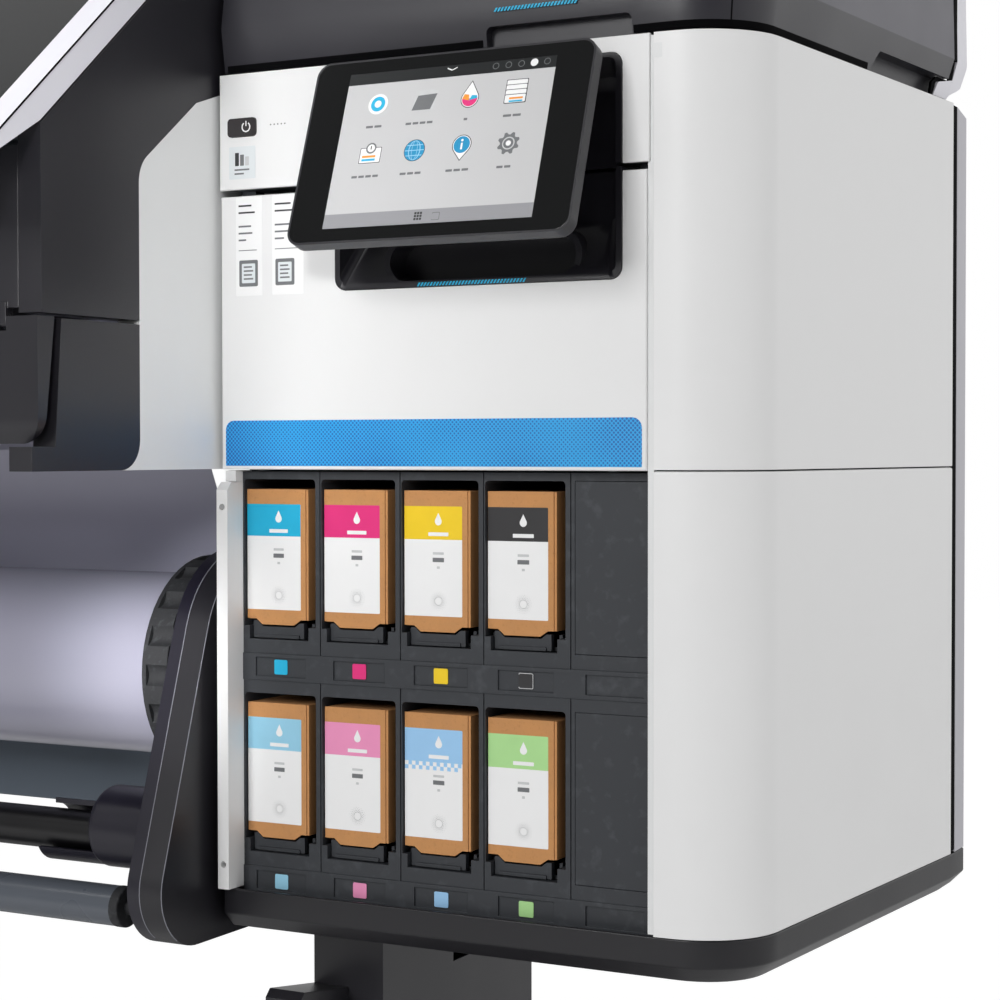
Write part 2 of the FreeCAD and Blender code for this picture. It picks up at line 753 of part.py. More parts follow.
def tower_outline(width, inset, y_front, y_back, z, radius):
    """Outline of a tower at one height: square at the print zone, round at the outer front corner.

    The outer side widens towards the back by SIDE_TAPER, and runs straight behind SIDE_D.
    """
    lean = math.atan2(SIDE_TAPER, SIDE_D)
    corner = -inset - SIDE_TAPER * (1 - y_front / SIDE_D)
    reach = radius * math.tan((math.pi / 2 - lean) / 2)
    middle = (math.pi / 2 + lean) / 2
    start = vec(corner - reach, y_front, z)
    bend = vec(start.x + radius * math.cos(middle), y_front + radius * (1 - math.sin(middle)), z)
    end = vec(corner + reach * math.sin(lean), y_front + reach * math.cos(lean), z)
    points = [end, vec(-inset, min(y_back, SIDE_D), z)]
    if y_back > SIDE_D:
        points.append(vec(-inset, y_back, z))
    points += [vec(-width, y_back, z), vec(-width, y_front, z), start]
    lines = [Part.Arc(start, bend, end)]
    lines += [Part.LineSegment(one, two) for one, two in zip(points, points[1:])]
    return Part.Wire([line.toShape() for line in lines])


def tower_block(width, inset, y_front, y_back, z0, z1, radius):
    face = Part.Face(tower_outline(width, inset, y_front, y_back, z0, radius))
    return face.extrude(vec(0, 0, z1 - z0))


def corner_panel(width, z0, z1):
    """Skin that wraps from the front around the round corner to the back edge."""
    outer = tower_block(width, 0, 0, SIDE_D, z0, z1, CORNER_R)
    inner = tower_block(width + 1, SKIN, SKIN, SIDE_D + 1, z0 - 1, z1 + 1, CORNER_R - SKIN)
    flange = box(-width, -width + SKIN, SKIN, CHASSIS_Y, z0, z1)
    return fuse(cut(outer, inner), flange)


def right_corner_upper():
    return corner_panel(BAY_X, PANEL_SPLIT, PANEL_H)


def right_corner_lower():
    """Lower corner panel, with the light chamfer that shows along the seam."""
    top = PANEL_SPLIT - GAP / 2
    panel = corner_panel(BAY_X, 0, top)
    rim = [edge for edge in panel.Edges
           if edge.BoundBox.ZMin > top - 0.01 and (edge.BoundBox.XMax > -0.01 or edge.BoundBox.YMin < 0.01)]
    return panel.makeChamfer(GAP / 2, rim)


def right_skirt():
    """Base trim: a thin lip beside the floor and a chamfered ring below it."""
    low = tower_block(RIGHT_W, 0, SKIRT_INSET, TOWER_D, -SKIRT_H, -FLOOR_T, CORNER_R - SKIRT_INSET)
    front_edges = [edge for edge in low.Edges
                   if edge.BoundBox.ZMax < -SKIRT_H + 0.01
                   and (edge.BoundBox.YMax < CORNER_R + 1
                        or (edge.BoundBox.XMax > -0.01 and edge.BoundBox.XMin > -SIDE_TAPER - 1))]
    low = low.makeChamfer(SKIRT_CHAMFER, front_edges)
    lip = tower_block(RIGHT_W, 0, SKIRT_INSET, TOWER_D, -FLOOR_T, -GAP / 4, CORNER_R - SKIRT_INSET)
    hole = tower_block(RIGHT_W - SKIRT_WALL, SKIRT_WALL, SKIRT_INSET + SKIRT_WALL, TOWER_D - SKIRT_WALL,
                       -SKIRT_H, -FLOOR_T, CORNER_R - SKIRT_WALL)
    thin = tower_block(RIGHT_W - SKIN, SKIN - 1, SKIRT_INSET + SKIN, TOWER_D - SKIN,
                       -FLOOR_T, 0, CORNER_R - SKIN)
    return fuse(cut(low, hole), cut(lip, thin))


# ================================================================ ink bay
PITCH = BAY_W / COLUMNS
INK_COLUMNS = COLUMNS - 1


def column_x(column):
    """Left edge of one column of the bay."""
    return -BAY_IN + column * PITCH


def row_z(row):
    """Height that a row lies below the top row."""
    return -row * ROW_PITCH


def slot_cut(column, row):
    """Space for one ink box, with a narrower channel for its tray."""
    x = column_x(column)
    z = row_z(row)
    opening = box(x + FRAME_LEFT, x + PITCH - FRAME_RIGHT, RACK_Y - 1, RACK_Y + SLOT_D,
                  z + SLOT_FLOOR + LEDGE_H, z + SLOT_TOP)
    opening = round_edges(opening, SLOT_R, lambda edge: along(edge, 1) and edge.BoundBox.ZMin > z + SLOT_TOP - 1)
    channel = box(x + FRAME_LEFT + LEDGE_LEFT, x + PITCH - FRAME_RIGHT - LEDGE_RIGHT,
                  RACK_Y - 1, RACK_Y + SLOT_D, z + SLOT_FLOOR, z + SLOT_FLOOR + LEDGE_H)
    return fuse(opening, channel)


def cover_cut(row, clearance):
    """Seat of the blank cover in the last column."""
    x = column_x(INK_COLUMNS)
    z = row_z(row)
    return box(x + COVER_RIM - clearance, x + PITCH - COVER_RIM + clearance, RACK_Y - clearance, RACK_Y + COVER_T,
               z + SLOT_FLOOR - clearance, z + SLOT_TOP + clearance)


def cartridge_rack():
    """Moulded rack with eight slots, a spare column and seams between its modules."""
    body = box(-BAY_IN, -BAY_X, RACK_Y, RACK_Y + RACK_D, 0, BAY_TOP)
    lip = box(-BAY_IN, -BAY_X, RACK_Y, CHASSIS_Y, RACK_LIP_Z, 0)
    tools = [slot_cut(column, row) for column in range(INK_COLUMNS) for row in (0, 1)]
    spare_x = column_x(INK_COLUMNS)
    for row in (0, 1):
        z = row_z(row)
        tools.append(cover_cut(row, SLACK))
        tools.append(box(spare_x + 2 * COVER_RIM, spare_x + PITCH - 2 * COVER_RIM, RACK_Y, RACK_Y + SLOT_D,
                         z + SLOT_FLOOR + COVER_RIM, z + SLOT_TOP - COVER_RIM))
        tools.append(box(-BAY_IN - 1, -BAY_X + 1, RACK_Y - 1, RACK_Y + STRIP_T - STRIP_PROUD,
                         z + STRIP_Z, z + STRIP_Z + STRIP_H))
        for column in range(1, COLUMNS):
            x = column_x(column)
            tools.append(box(x - SEAM / 2, x + SEAM / 2, RACK_Y - 1, RACK_Y + 2 * SEAM,
                             z + STRIP_Z + STRIP_H, z + STRIP_Z + ROW_PITCH))
    return cut(fuse(body, lip), *tools)


def bay_trims():
    """Label strips under the two rows, and the blank covers of the spare column."""
    pieces = []
    for row in (0, 1):
        z = row_z(row) + STRIP_Z
        strip = box(-BAY_IN, -BAY_X, RACK_Y - STRIP_PROUD, RACK_Y + STRIP_T - STRIP_PROUD, z, z + STRIP_H)
        for column in range(COLUMNS):
            x = column_x(column)
            strip = cut(strip, box(x + LABEL_SET, x + LABEL_SET + LABEL_W, RACK_Y - STRIP_PROUD - 1,
                                   RACK_Y - STRIP_PROUD + LABEL_D, z + LABEL_RIM, z + STRIP_H - LABEL_RIM))
        pieces += [strip, cover_cut(row, 0)]
    return Part.makeCompound(pieces)


def ink_box(column, row):
    """Carton of ink on its moulded tray."""
    x = column_x(column) + FRAME_LEFT + TRAY_GAP
    low = row_z(row) + SLOT_FLOOR + SLACK
    carton = box(x, x + BOX_W, RACK_Y + BOX_SET, RACK_Y + BOX_SET + BOX_D, low + TRAY_H, low + TRAY_H + BOX_H)
    carton = round_edges(carton, TRAY_GAP, lambda edge: along(edge, 1))
    tray = box(x + LEDGE_LEFT, column_x(column + 1) - FRAME_RIGHT - LEDGE_RIGHT - TRAY_GAP,
               RACK_Y + BOX_SET - GAP, RACK_Y + BOX_SET + BOX_D, low, low + TRAY_H)
    return Part.makeCompound([carton, tray])


def bay_post():
    """Post at the print-zone side of the bay, with a sloped top and two screw holes."""
    post = box(-BAY_IN - POST_W, -BAY_IN, -POST_PROUD, CHASSIS_Y, 0, POST_TOP)
    slope = prism_x([(-POST_PROUD - 1, POST_TOP - POST_PROUD - 1), (-POST_PROUD - 1, POST_TOP + 1),
                     (1, POST_TOP + 1)], -BAY_IN - POST_W - 1, -BAY_IN + 1)
    holes = [rod_y(-POST_PROUD - 1, POST_PROUD, -BAY_IN - POST_W / 2, z, POST_HOLE_R)
             for z in (POST_HOLE_Z, POST_TOP - POST_HOLE_Z)]
    return cut(post, slope, *holes)


# ================================================================ door and upper panel
def hinge_ears(stations, axis, reach_y, half, radius, bore, low):
    """Fixed plates that hold a hinge pin, reaching back to reach_y."""
    ears = []
    for x in stations:
        disc = rod_x(x - half, x + half, axis, radius)
        arm = box(x - half, x + half, axis[0], reach_y, axis[1] - low, axis[1] + radius)
        ears.append(cut(fuse(disc, arm), rod_x(x - half - 1, x + half + 1, axis, bore)))
    return ears


def hinge_pin(x, axis, half, radius):
    return rod_x(x - half, x + half, axis, radius)


def knuckles(x, axis, half, length, y0, y1, z0, z1):
    """Blocks on both sides of an ear, on the piece that swings."""
    left = box(x - half - SLACK - length, x - half - SLACK, y0, y1, z0, z1)
    right = box(x + half + SLACK, x + half + SLACK + length, y0, y1, z0, z1)
    return left, right


DOOR_HINGES = (-430.0, -134.0)
CAP_HINGES = (-400.0, -60.0)
PIN_R = 2.0
EAR_HALF = 3.0
KNUCKLE_L = 8.0
DOOR_EAR_R = 4.4
CAP_EAR_R = 3.8
WINDOW_HINGES = (-RIGHT_W - WINDOW_HINGE_SET, CENTRE_X, LEFT_IN + WINDOW_HINGE_SET)
WINDOW_PIN_R = 3.0
WINDOW_EAR_R = 7.0
WINDOW_EAR_HALF = 6.0
FLAP_HINGES = (-RIGHT_W - FLAP_HINGE_SET, CENTRE_X, LEFT_IN + FLAP_HINGE_SET)
FLAP_EAR_R = 3.8


def front_door():
    """White door: a skin with folded edges, knuckles for its hinge and a seat for the pocket."""
    outer = box(-DOOR_LEFT, -DOOR_RIGHT, 0, DOOR_T, DOOR_LOW, DOOR_TOP)
    outer = round_edges(outer, SKIN / 2, lambda edge: edge.BoundBox.YMax < 0.01)
    inner = box(-DOOR_LEFT + SKIN, -DOOR_RIGHT - SKIN, SKIN, DOOR_T + 1, DOOR_LOW + SKIN, DOOR_TOP - SKIN)
    shell = cut(outer, inner)
    for x in DOOR_HINGES:
        shell = fuse(shell, *knuckles(x, DOOR_AXIS, EAR_HALF, KNUCKLE_L, SKIN / 2, DOOR_AXIS[0] + DOOR_EAR_R,
                                      DOOR_LOW + SKIN / 2, DOOR_AXIS[1] + DOOR_EAR_R))
    hole = box(-POCKET_LEFT - SLACK, -POCKET_RIGHT + SLACK, -1, DOOR_T + 1, POCKET_LOW - SLACK, DOOR_TOP + 1)
    tools = [round_edges(hole, POCKET_R, lambda edge: along(edge, 1) and edge.BoundBox.ZMax < POCKET_LOW)]
    for x in DOOR_HINGES:
        tools.append(box(x - EAR_HALF - SLACK, x + EAR_HALF + SLACK, SKIN, DOOR_T + 1,
                         DOOR_LOW - 1, DOOR_AXIS[1] + DOOR_EAR_R + GAP))
        tools.append(rod_x(x - EAR_HALF - KNUCKLE_L, x + EAR_HALF + KNUCKLE_L, DOOR_AXIS, PIN_R + RUNNING))
    return cut(shell, *tools)


def round_rect(y, x0, x1, z0, z1, r):
    """Rectangle with round corners on a plane of constant Y."""
    k = r * (1 - math.sqrt(0.5))
    lines = [
        Part.LineSegment(vec(x0 + r, y, z0), vec(x1 - r, y, z0)),
        Part.Arc(vec(x1 - r, y, z0), vec(x1 - k, y, z0 + k), vec(x1, y, z0 + r)),
        Part.LineSegment(vec(x1, y, z0 + r), vec(x1, y, z1 - r)),
        Part.Arc(vec(x1, y, z1 - r), vec(x1 - k, y, z1 - k), vec(x1 - r, y, z1)),
        Part.LineSegment(vec(x1 - r, y, z1), vec(x0 + r, y, z1)),
        Part.Arc(vec(x0 + r, y, z1), vec(x0 + k, y, z1 - k), vec(x0, y, z1 - r)),
        Part.LineSegment(vec(x0, y, z1 - r), vec(x0, y, z0 + r)),
        Part.Arc(vec(x0, y, z0 + r), vec(x0 + k, y, z0 + k), vec(x0 + r, y, z0)),
    ]
    return Part.Wire([line.toShape() for line in lines])


def loft_y(y0, rect0, y1, rect1):
    """Solid between two rectangles (x0, x1, z0, z1) with round corners on planes of constant Y."""
    wires = [round_rect(y0, *rect0, DISH_R), round_rect(y1, *rect1, DISH_R)]
    return Part.makeLoft(wires, True, True)


def door_pocket():
    """Dished pocket on the door, with the grip groove along its lower edge."""
    top = UPPER_LOW - GAP - SLACK
    outer = box(-POCKET_LEFT, -POCKET_RIGHT, -POCKET_RIM, POCKET_D + POCKET_WALL, POCKET_LOW, top)
    outer = round_edges(outer, POCKET_R, lambda edge: along(edge, 1) and edge.BoundBox.ZMax < POCKET_LOW + 1)
    above = top + POCKET_R
    dish = loft_y(-POCKET_RIM - 1, (-POCKET_LEFT + POCKET_WALL, -POCKET_RIGHT - POCKET_WALL, POCKET_LOW + 3, above),
                  POCKET_D, (-POCKET_LEFT + POCKET_SIDE, -POCKET_RIGHT - POCKET_SIDE,
                             POCKET_LOW + POCKET_SLOPE, above))
    left = -GROOVE_LEFT + GROOVE_R
    right = -GROOVE_RIGHT - GROOVE_R
    ring_r = GROOVE_R + POCKET_RIM * 4
    ring = fuse(rod_y(2, POCKET_D, left, GROOVE_Z, ring_r), rod_y(2, POCKET_D, right, GROOVE_Z, ring_r),
                box(left, right, 2, POCKET_D, GROOVE_Z - ring_r, GROOVE_Z + ring_r))
    groove = fuse(rod_y(-1, GROOVE_D, left, GROOVE_Z, GROOVE_R), rod_y(-1, GROOVE_D, right, GROOVE_Z, GROOVE_R),
                  box(left, right, -1, GROOVE_D, GROOVE_Z - GROOVE_R, GROOVE_Z + GROOVE_R))
    flange = box(-POCKET_LEFT - POCKET_FLANGE, -POCKET_RIGHT + POCKET_FLANGE, SKIN, SKIN + 2,
                 POCKET_LOW - POCKET_FLANGE, DOOR_TOP - SKIN - GAP)
    return cut(fuse(cut(fuse(outer, flange), dish), ring), groove)


SCREEN_COS = math.cos(math.radians(SCREEN_TILT))
SCREEN_SIN = math.sin(math.radians(SCREEN_TILT))
PIVOT = (SCREEN[1] + PIVOT_BACK * SCREEN_COS, SCREEN[2] - PIVOT_BACK * SCREEN_SIN)


def display_pocket():
    """Upper half of the pocket, with the bracket that carries the display."""
    low = UPPER_LOW + SLACK
    outer = box(-POCKET_LEFT, -POCKET_RIGHT, -POCKET_RIM, POCKET_D + POCKET_WALL, low, POCKET_TOP)
    outer = round_edges(outer, POCKET_R, lambda edge: along(edge, 1) and edge.BoundBox.ZMin > POCKET_TOP - 1)
    below = low - POCKET_R
    dish = loft_y(-POCKET_RIM - 1, (-POCKET_LEFT + POCKET_WALL, -POCKET_RIGHT - POCKET_WALL, below, POCKET_TOP - 3),
                  POCKET_D, (-POCKET_LEFT + POCKET_SIDE, -POCKET_RIGHT - POCKET_SIDE, below, POCKET_TOP - POCKET_SIDE))
    shell = cut(outer, dish)
    half = LUG_W / 2 + SLACK + EAR_W
    base = box(SCREEN[0] - half, SCREEN[0] + half, PIVOT[0] + EAR_R + GAP, POCKET_D, PIVOT[1] - 3, PIVOT[1] + EAR_R)
    ears = []
    for side in (-1, 1):
        x = SCREEN[0] + side * (LUG_W / 2 + SLACK + EAR_W / 2)
        disc = rod_x(x - EAR_W / 2, x + EAR_W / 2, PIVOT, EAR_R)
        arm = box(x - EAR_W / 2, x + EAR_W / 2, PIVOT[0], PIVOT[0] + EAR_R + GAP, PIVOT[1] - 3, PIVOT[1] + EAR_R)
        ears += [disc, arm]
    return cut(fuse(shell, base, *ears), rod_x(SCREEN[0] - half, SCREEN[0] + half, PIVOT, PIVOT_R))


def tilted(shape):
    """Turn an upright piece about the middle of the screen to its resting tilt."""
    shape.rotate(vec(*SCREEN), vec(1, 0, 0), -SCREEN_TILT)
    return shape


def screen_block(margin, y0, y1, radius):
    """Rounded slab parallel to the screen before it is tilted."""
    slab = box(SCREEN[0] - SCREEN_W / 2 + margin, SCREEN[0] + SCREEN_W / 2 - margin, SCREEN[1] + y0, SCREEN[1] + y1,
               SCREEN[2] - SCREEN_H / 2 + margin, SCREEN[2] + SCREEN_H / 2 - margin)
    return round_edges(slab, radius, lambda edge: along(edge, 1))


def display_shell():
    """Back shell of the display, with its rim and the lug that turns on the bracket."""
    slab = screen_block(0, 0, SCREEN_T, SCREEN_R)
    slab = round_edges(slab, SKIN, lambda edge: edge.BoundBox.YMin > SCREEN[1] + SCREEN_T - 0.01)
    seat = screen_block(GLASS_T, -1, GLASS_T, SCREEN_R - GLASS_T)
    lug = box(SCREEN[0] - LUG_W / 2, SCREEN[0] + LUG_W / 2, SCREEN[1] + SCREEN_T, SCREEN[1] + PIVOT_BACK,
              SCREEN[2] - EAR_R + 1, SCREEN[2] + EAR_R - 1)
    axis = (SCREEN[1] + PIVOT_BACK, SCREEN[2])
    eye = rod_x(SCREEN[0] - LUG_W / 2, SCREEN[0] + LUG_W / 2, axis, EAR_R - 1)
    bore = rod_x(SCREEN[0] - LUG_W, SCREEN[0] + LUG_W, axis, PIVOT_R + RUNNING)
    return tilted(cut(fuse(cut(slab, seat), lug, eye), bore))


def display_glass():
    return tilted(screen_block(GLASS_T, 0, GLASS_T, SCREEN_R - GLASS_T))


def upper_panel():
    """White panel above the door, open for the pocket and the power button."""
    skin = box(-UPPER_LEFT, -UPPER_RIGHT, 0, SKIN, UPPER_LOW, PANEL_H)
    skin = round_edges(skin, SKIN / 3, lambda edge: edge.BoundBox.YMax < 0.01)
    pocket = box(-POCKET_LEFT - SLACK, -POCKET_RIGHT + SLACK, -1, SKIN + 1, UPPER_LOW - 1, POCKET_TOP + SLACK)
    pocket = round_edges(pocket, POCKET_R, lambda edge: along(edge, 1) and edge.BoundBox.ZMin > POCKET_TOP)
    button = box(-BUTTON_LEFT - SLACK, -BUTTON_LEFT + BUTTON_W + SLACK, -1, SKIN + 1,
                 BUTTON_Z - SLACK, BUTTON_Z + BUTTON_H + SLACK)
    button = round_edges(button, BUTTON_R + SLACK, lambda edge: along(edge, 1))
    return cut(skin, pocket, button)


def power_button():
    """Push button with a flange that keeps it behind the panel."""
    cap = box(-BUTTON_LEFT, -BUTTON_LEFT + BUTTON_W, -BUTTON_PROUD, BUTTON_BACK,
              BUTTON_Z, BUTTON_Z + BUTTON_H)
    cap = round_edges(cap, BUTTON_R, lambda edge: along(edge, 1))
    flange = box(-BUTTON_LEFT - 1, -BUTTON_LEFT + BUTTON_W + 1, SKIN + SLACK, SKIN + 2,
                 BUTTON_Z - 1, BUTTON_Z + BUTTON_H + 1)
    return fuse(cap, flange)


# ================================================================ caps and rear covers
def cap_solid(width, wall):
    """Outer form of a top cap, or its hollow when a wall is given."""
    sections = []
    levels = (
        (PANEL_H + GAP - wall, CAP_UNDERCUT, CAP_UNDERCUT),
        (CAP_CREASE, 0, 0),
        (HEIGHT - BASE_Z - CAP_LEAN - wall, CAP_LEAN, CAP_DRAFT),
        (HEIGHT - BASE_Z - wall, 2 * CAP_LEAN, CAP_LEAN),
    )
    for z, front, side in levels:
        sections.append(tower_outline(width - wall, side + wall, front + wall, CAP_DEPTH + wall, z,
                                      CORNER_R - side - wall))
    return Part.makeLoft(sections, True, True)


def open_cap(width):
    """Cap open below, behind and, under its roof, towards the print zone."""
    inward = box(-width - 1, -width + CAP_WALL + 1, CAP_SIDE_Y, CAP_DEPTH + 1,
                 PANEL_H, HEIGHT - BASE_Z - CAP_ROOF)
    return cut(cap_solid(width, 0), cap_solid(width, CAP_WALL), inward)


def turned_to_side(shape):
    """Turn a piece that lies along Y to the slant of the tower's outer side."""
    shape.rotate(vec(0, SIDE_D, 0), vec(0, 0, 1), -math.degrees(math.atan2(SIDE_TAPER, SIDE_D)))
    return shape


def side_hold(grow, over, x0, x1):
    """Recess for a hand under the cap's outer side, or its liner when it is grown by a wall."""
    low = PANEL_H + GAP
    front = CAP_HAND_Y - grow
    top = low + CAP_HAND_H + grow
    hold = prism_x([(front, low - over), (front + CAP_HAND_SLANT, top), (CAP_DEPTH + over, top),
                    (CAP_DEPTH + over, low - over)], x0, x1)
    hold = round_edges(hold, CAP_HAND_R + grow, lambda edge: along(edge, 0) and edge.BoundBox.ZMin > top - 0.01
                       and edge.BoundBox.YMax < CAP_DEPTH)
    return turned_to_side(hold)


def right_cap():
    """Hinged top cap with a finger recess under its front edge and a hand recess in its side, both lined."""
    low = PANEL_H + GAP
    grip = box(-CAP_GRIP_LEFT, -CAP_GRIP_RIGHT, -1, CAP_GRIP_D, PANEL_H, low + CAP_GRIP_H)
    grip = round_edges(grip, CAP_GRIP_H / 3, lambda edge: along(edge, 1) and edge.BoundBox.ZMin > PANEL_H + 5)
    liner = box(-CAP_GRIP_LEFT - CAP_WALL, -CAP_GRIP_RIGHT + CAP_WALL, CAP_UNDERCUT + 1, CAP_GRIP_D + CAP_WALL,
                low, low + CAP_GRIP_H + CAP_WALL)
    side_liner = side_hold(CAP_WALL, 0, -CAP_HAND_D - CAP_WALL, -CAP_UNDERCUT - 1)
    side_liner = side_liner.common(box(-RIGHT_W, 0, 0, CAP_DEPTH, low, HEIGHT))
    foot = prism_x([(CAP_DEPTH - CAP_FOOT_SET, low + CAP_HAND_H), (CAP_DEPTH, CAP_CREASE), (CAP_DEPTH + 1, CAP_CREASE),
                    (CAP_DEPTH + 1, PANEL_H), (CAP_DEPTH - CAP_FOOT_SET, PANEL_H)], -RIGHT_W - 1, 1)
    cap = cut(fuse(open_cap(RIGHT_W - GAP), liner, side_liner), foot)
    roof = HEIGHT - BASE_Z - GAP
    for x in CAP_HINGES:
        cap = fuse(cap, *knuckles(x, CAP_AXIS, EAR_HALF, KNUCKLE_L, CAP_AXIS[0] - CAP_EAR_R, CAP_DEPTH - SLACK,
                                  CAP_AXIS[1] - CAP_EAR_R, roof))
    tools = [grip, side_hold(0, 1, -CAP_HAND_D, 1)]
    for x in CAP_HINGES:
        tools.append(rod_x(x - EAR_HALF - KNUCKLE_L, x + EAR_HALF + KNUCKLE_L, CAP_AXIS, PIN_R + RUNNING))
        tools.append(box(x - EAR_HALF - SLACK, x + EAR_HALF + SLACK, CAP_AXIS[0] - 2 * CAP_EAR_R, CAP_DEPTH + 1,
                         CAP_AXIS[1] - CAP_EAR_R - GAP, HEIGHT))
    return cut(cap, *tools)


def opposite(shape):
    """The same piece on the left tower."""
    return shape.mirror(vec(-WIDTH / 2, 0, 0), vec(1, 0, 0))


def top_covers():
    """Fixed covers: the cap of the left tower and the lid behind the window."""
    left = opposite(open_cap(LEFT_W - GAP))
    y0 = WINDOW_BACK + PLATE
    top = HEIGHT - BASE_Z
    outer = box(flip(-END_OUT_X), -END_OUT_X, y0, TOWER_D, HOUSING_LOW, top)
    outer = round_edges(outer, LID_R, lambda edge: along(edge, 0) and edge.BoundBox.YMin > y0 + 1
                        and edge.BoundBox.ZMin > HOUSING_LOW + 1)
    inner = box(flip(-END_OUT_X) - 1, -END_OUT_X + 1, y0 + SKIN, TOWER_D - SKIN, HOUSING_LOW - 1, WINDOW_TOP)
    inner = round_edges(inner, LID_R - SKIN, lambda edge: along(edge, 0) and edge.BoundBox.YMin > y0 + SKIN + 1
                        and edge.BoundBox.ZMin > HOUSING_LOW)
    below = box(flip(-END_OUT_X) - 1, -END_OUT_X + 1, y0 - 1, RAIL_Y, HOUSING_LOW - 1, WINDOW_TOP - WINDOW_T)
    lid = fuse(cut(outer, inner, below), *window_ears())
    return Part.makeCompound([left, lid])


def rear_block(z1, drop, wall):
    """Cover strip around the back of a tower, open towards the print zone, its roof falling backwards."""
    y0 = SIDE_D + REAR_GAP
    depth = TOWER_D - y0
    outer = prism_x([(y0, 0), (TOWER_D, 0), (TOWER_D, z1 - drop), (y0, z1)], -RIGHT_W, 0)
    back = z1 - drop * (depth - wall) / depth - wall
    inner = prism_x([(y0 - 1, 0), (TOWER_D - wall, 0), (TOWER_D - wall, back), (y0 - 1, z1 - wall)],
                    -RIGHT_W + wall, -wall)
    return cut(outer, inner)


def side_width(shape, width):
    """Trim a right-hand cover to a tower's width."""
    return shape.common(box(-width, 1, -WIDTH, WIDTH, -WIDTH, WIDTH))


def rear_covers():
    """Light grey covers on the back of both towers."""
    cover = rear_block(PANEL_H - REAR_SINK, REAR_DROP, SKIN)
    return Part.makeCompound([cover, opposite(side_width(cover, LEFT_W))])


def cap_profile(low, wall):
    """Outline (x, z) of a cap's side, or of the hollow behind it when a wall is given."""
    top = HEIGHT - BASE_Z - wall
    return [(-RIGHT_W + wall, low - wall), (-CAP_UNDERCUT - wall, low - wall), (-wall, CAP_CREASE),
            (-CAP_DRAFT - wall, top - CAP_LEAN), (-CAP_LEAN - wall, top), (-RIGHT_W + wall, top)]


def rear_top_covers():
    """White covers behind the caps; the right one carries the cap's hinge."""
    low = PANEL_H + GAP * 3
    y0 = SIDE_D + REAR_GAP
    cover = cut(prism_y(cap_profile(low, 0), y0, TOWER_D), prism_y(cap_profile(low, SKIN), y0 - 1, TOWER_D - SKIN))
    under = [(SIDE_D, low), (TOWER_D - 2 * TOP_SLANT_D, low + TOP_RISE - TONGUE_LOW),
             (TOWER_D - TOP_SLANT_D, low + TOP_RISE), (TOWER_D, low + TOP_RISE + TOP_SLANT_H)]
    below = prism_x(under + [(TOWER_D + 1, low + TOP_RISE + TOP_SLANT_H), (TOWER_D + 1, low - 1), (SIDE_D, low - 1)],
                    -RIGHT_W - 1, 1)
    cover = cut(cover, below)
    sill = PANEL_H + GAP
    roof = sill + CAP_HAND_H
    first = SIDE_D - TONGUE_SET
    end = y0 + REAR_EASE
    tongue = prism_x([(first, sill + SLACK), (first + TONGUE_SLANT, roof - 1.5 * TONGUE_LOW),
                      (y0 - CAP_FOOT_SET, roof), (y0, CAP_CREASE), (end, CAP_CREASE), (end, low + TOP_RISE - TONGUE_LOW),
                      (SIDE_D, low), (SIDE_D - TONGUE_BACK, sill + SLACK)], -CORNER_R, CORNER_R)
    tongue = round_edges(tongue, TONGUE_R, lambda edge: along(edge, 0) and edge.BoundBox.ZMin > roof - 2 * TONGUE_LOW
                         and edge.BoundBox.YMax < first + 2 * TONGUE_SLANT)
    shell = cut(prism_y(cap_profile(sill, 0), first - 1, end), prism_y(cap_profile(sill, TONGUE_T), first - 2, end + 1))
    tongue = tongue.common(turned_to_side(shell)).common(prism_y(cap_profile(sill, 0), first - 1, end))
    reach = SIDE_D + REAR_GAP + KNUCKLE_L
    ears = hinge_ears(CAP_HINGES, CAP_AXIS, reach, EAR_HALF, CAP_EAR_R, PIN_R, CAP_EAR_R)
    for x in CAP_HINGES:
        ears.append(box(x - EAR_HALF, x + EAR_HALF, SIDE_D + REAR_GAP, reach,
                        CAP_AXIS[1] - CAP_EAR_R, HEIGHT - BASE_Z - 1))
    left = opposite(side_width(cover, LEFT_W))
    return Part.makeCompound([fuse(cover, tongue, *ears), left])


def left_cover():
    """White wrap-around cover of the left tower."""
    return opposite(corner_panel(LEFT_W, 0, PANEL_H))


def left_skirt_solid():
    """Base trim of the left tower: the right one cut to its width and closed again."""
    end = box(-LEFT_W, -LEFT_W + SKIRT_WALL, SKIRT_INSET, TOWER_D, -SKIRT_H + SKIRT_CHAMFER, -FLOOR_T)
    return opposite(fuse(side_width(right_skirt(), LEFT_W), end))


def skirts():
    return Part.makeCompound([right_skirt(), left_skirt_solid()])


def left_chassis():
    """Sheet-steel carcass of the left tower, with an upright that carries its cap."""
    wall = LEFT_W - RIGHT_W + WALL_X
    top = HEIGHT - BASE_Z - CAP_WALL
    floor = box(-wall, -SHEET, CHASSIS_Y, REAR_WALL_Y + SHEET, -FLOOR_T, 0)
    back = box(-wall, -SKIN, REAR_WALL_Y, REAR_WALL_Y + BACK_T, 0, PANEL_H)
    upright = box(-wall + UPRIGHT_W, -UPRIGHT_W, REAR_WALL_Y, REAR_WALL_Y + BACK_T, PANEL_H, top)
    inner = box(-wall, -wall + SHEET, CHASSIS_Y, REAR_WALL_Y, 0, DECK_Z)
    deck = box(-wall, -SKIN, CHASSIS_Y, REAR_WALL_Y, DECK_Z, DECK_Z + SHEET)
    strip = box(-SKIN - STRIP_W, -SKIN, REAR_WALL_Y, SIDE_D + REAR_GAP, 0, PANEL_H)
    body = fuse(floor, back, upright, inner, deck, strip, *rear_ribs((-wall + RIB_SET, -RIB_SET)))
    return opposite(cut(body, corner_trim(LEFT_W)))


# ================================================================ centre module
END_OUT_X = RIGHT_W + END_GAP
END_IN_X = END_OUT_X + END_T
GREY_DECK = PLATEN_Z - GAP


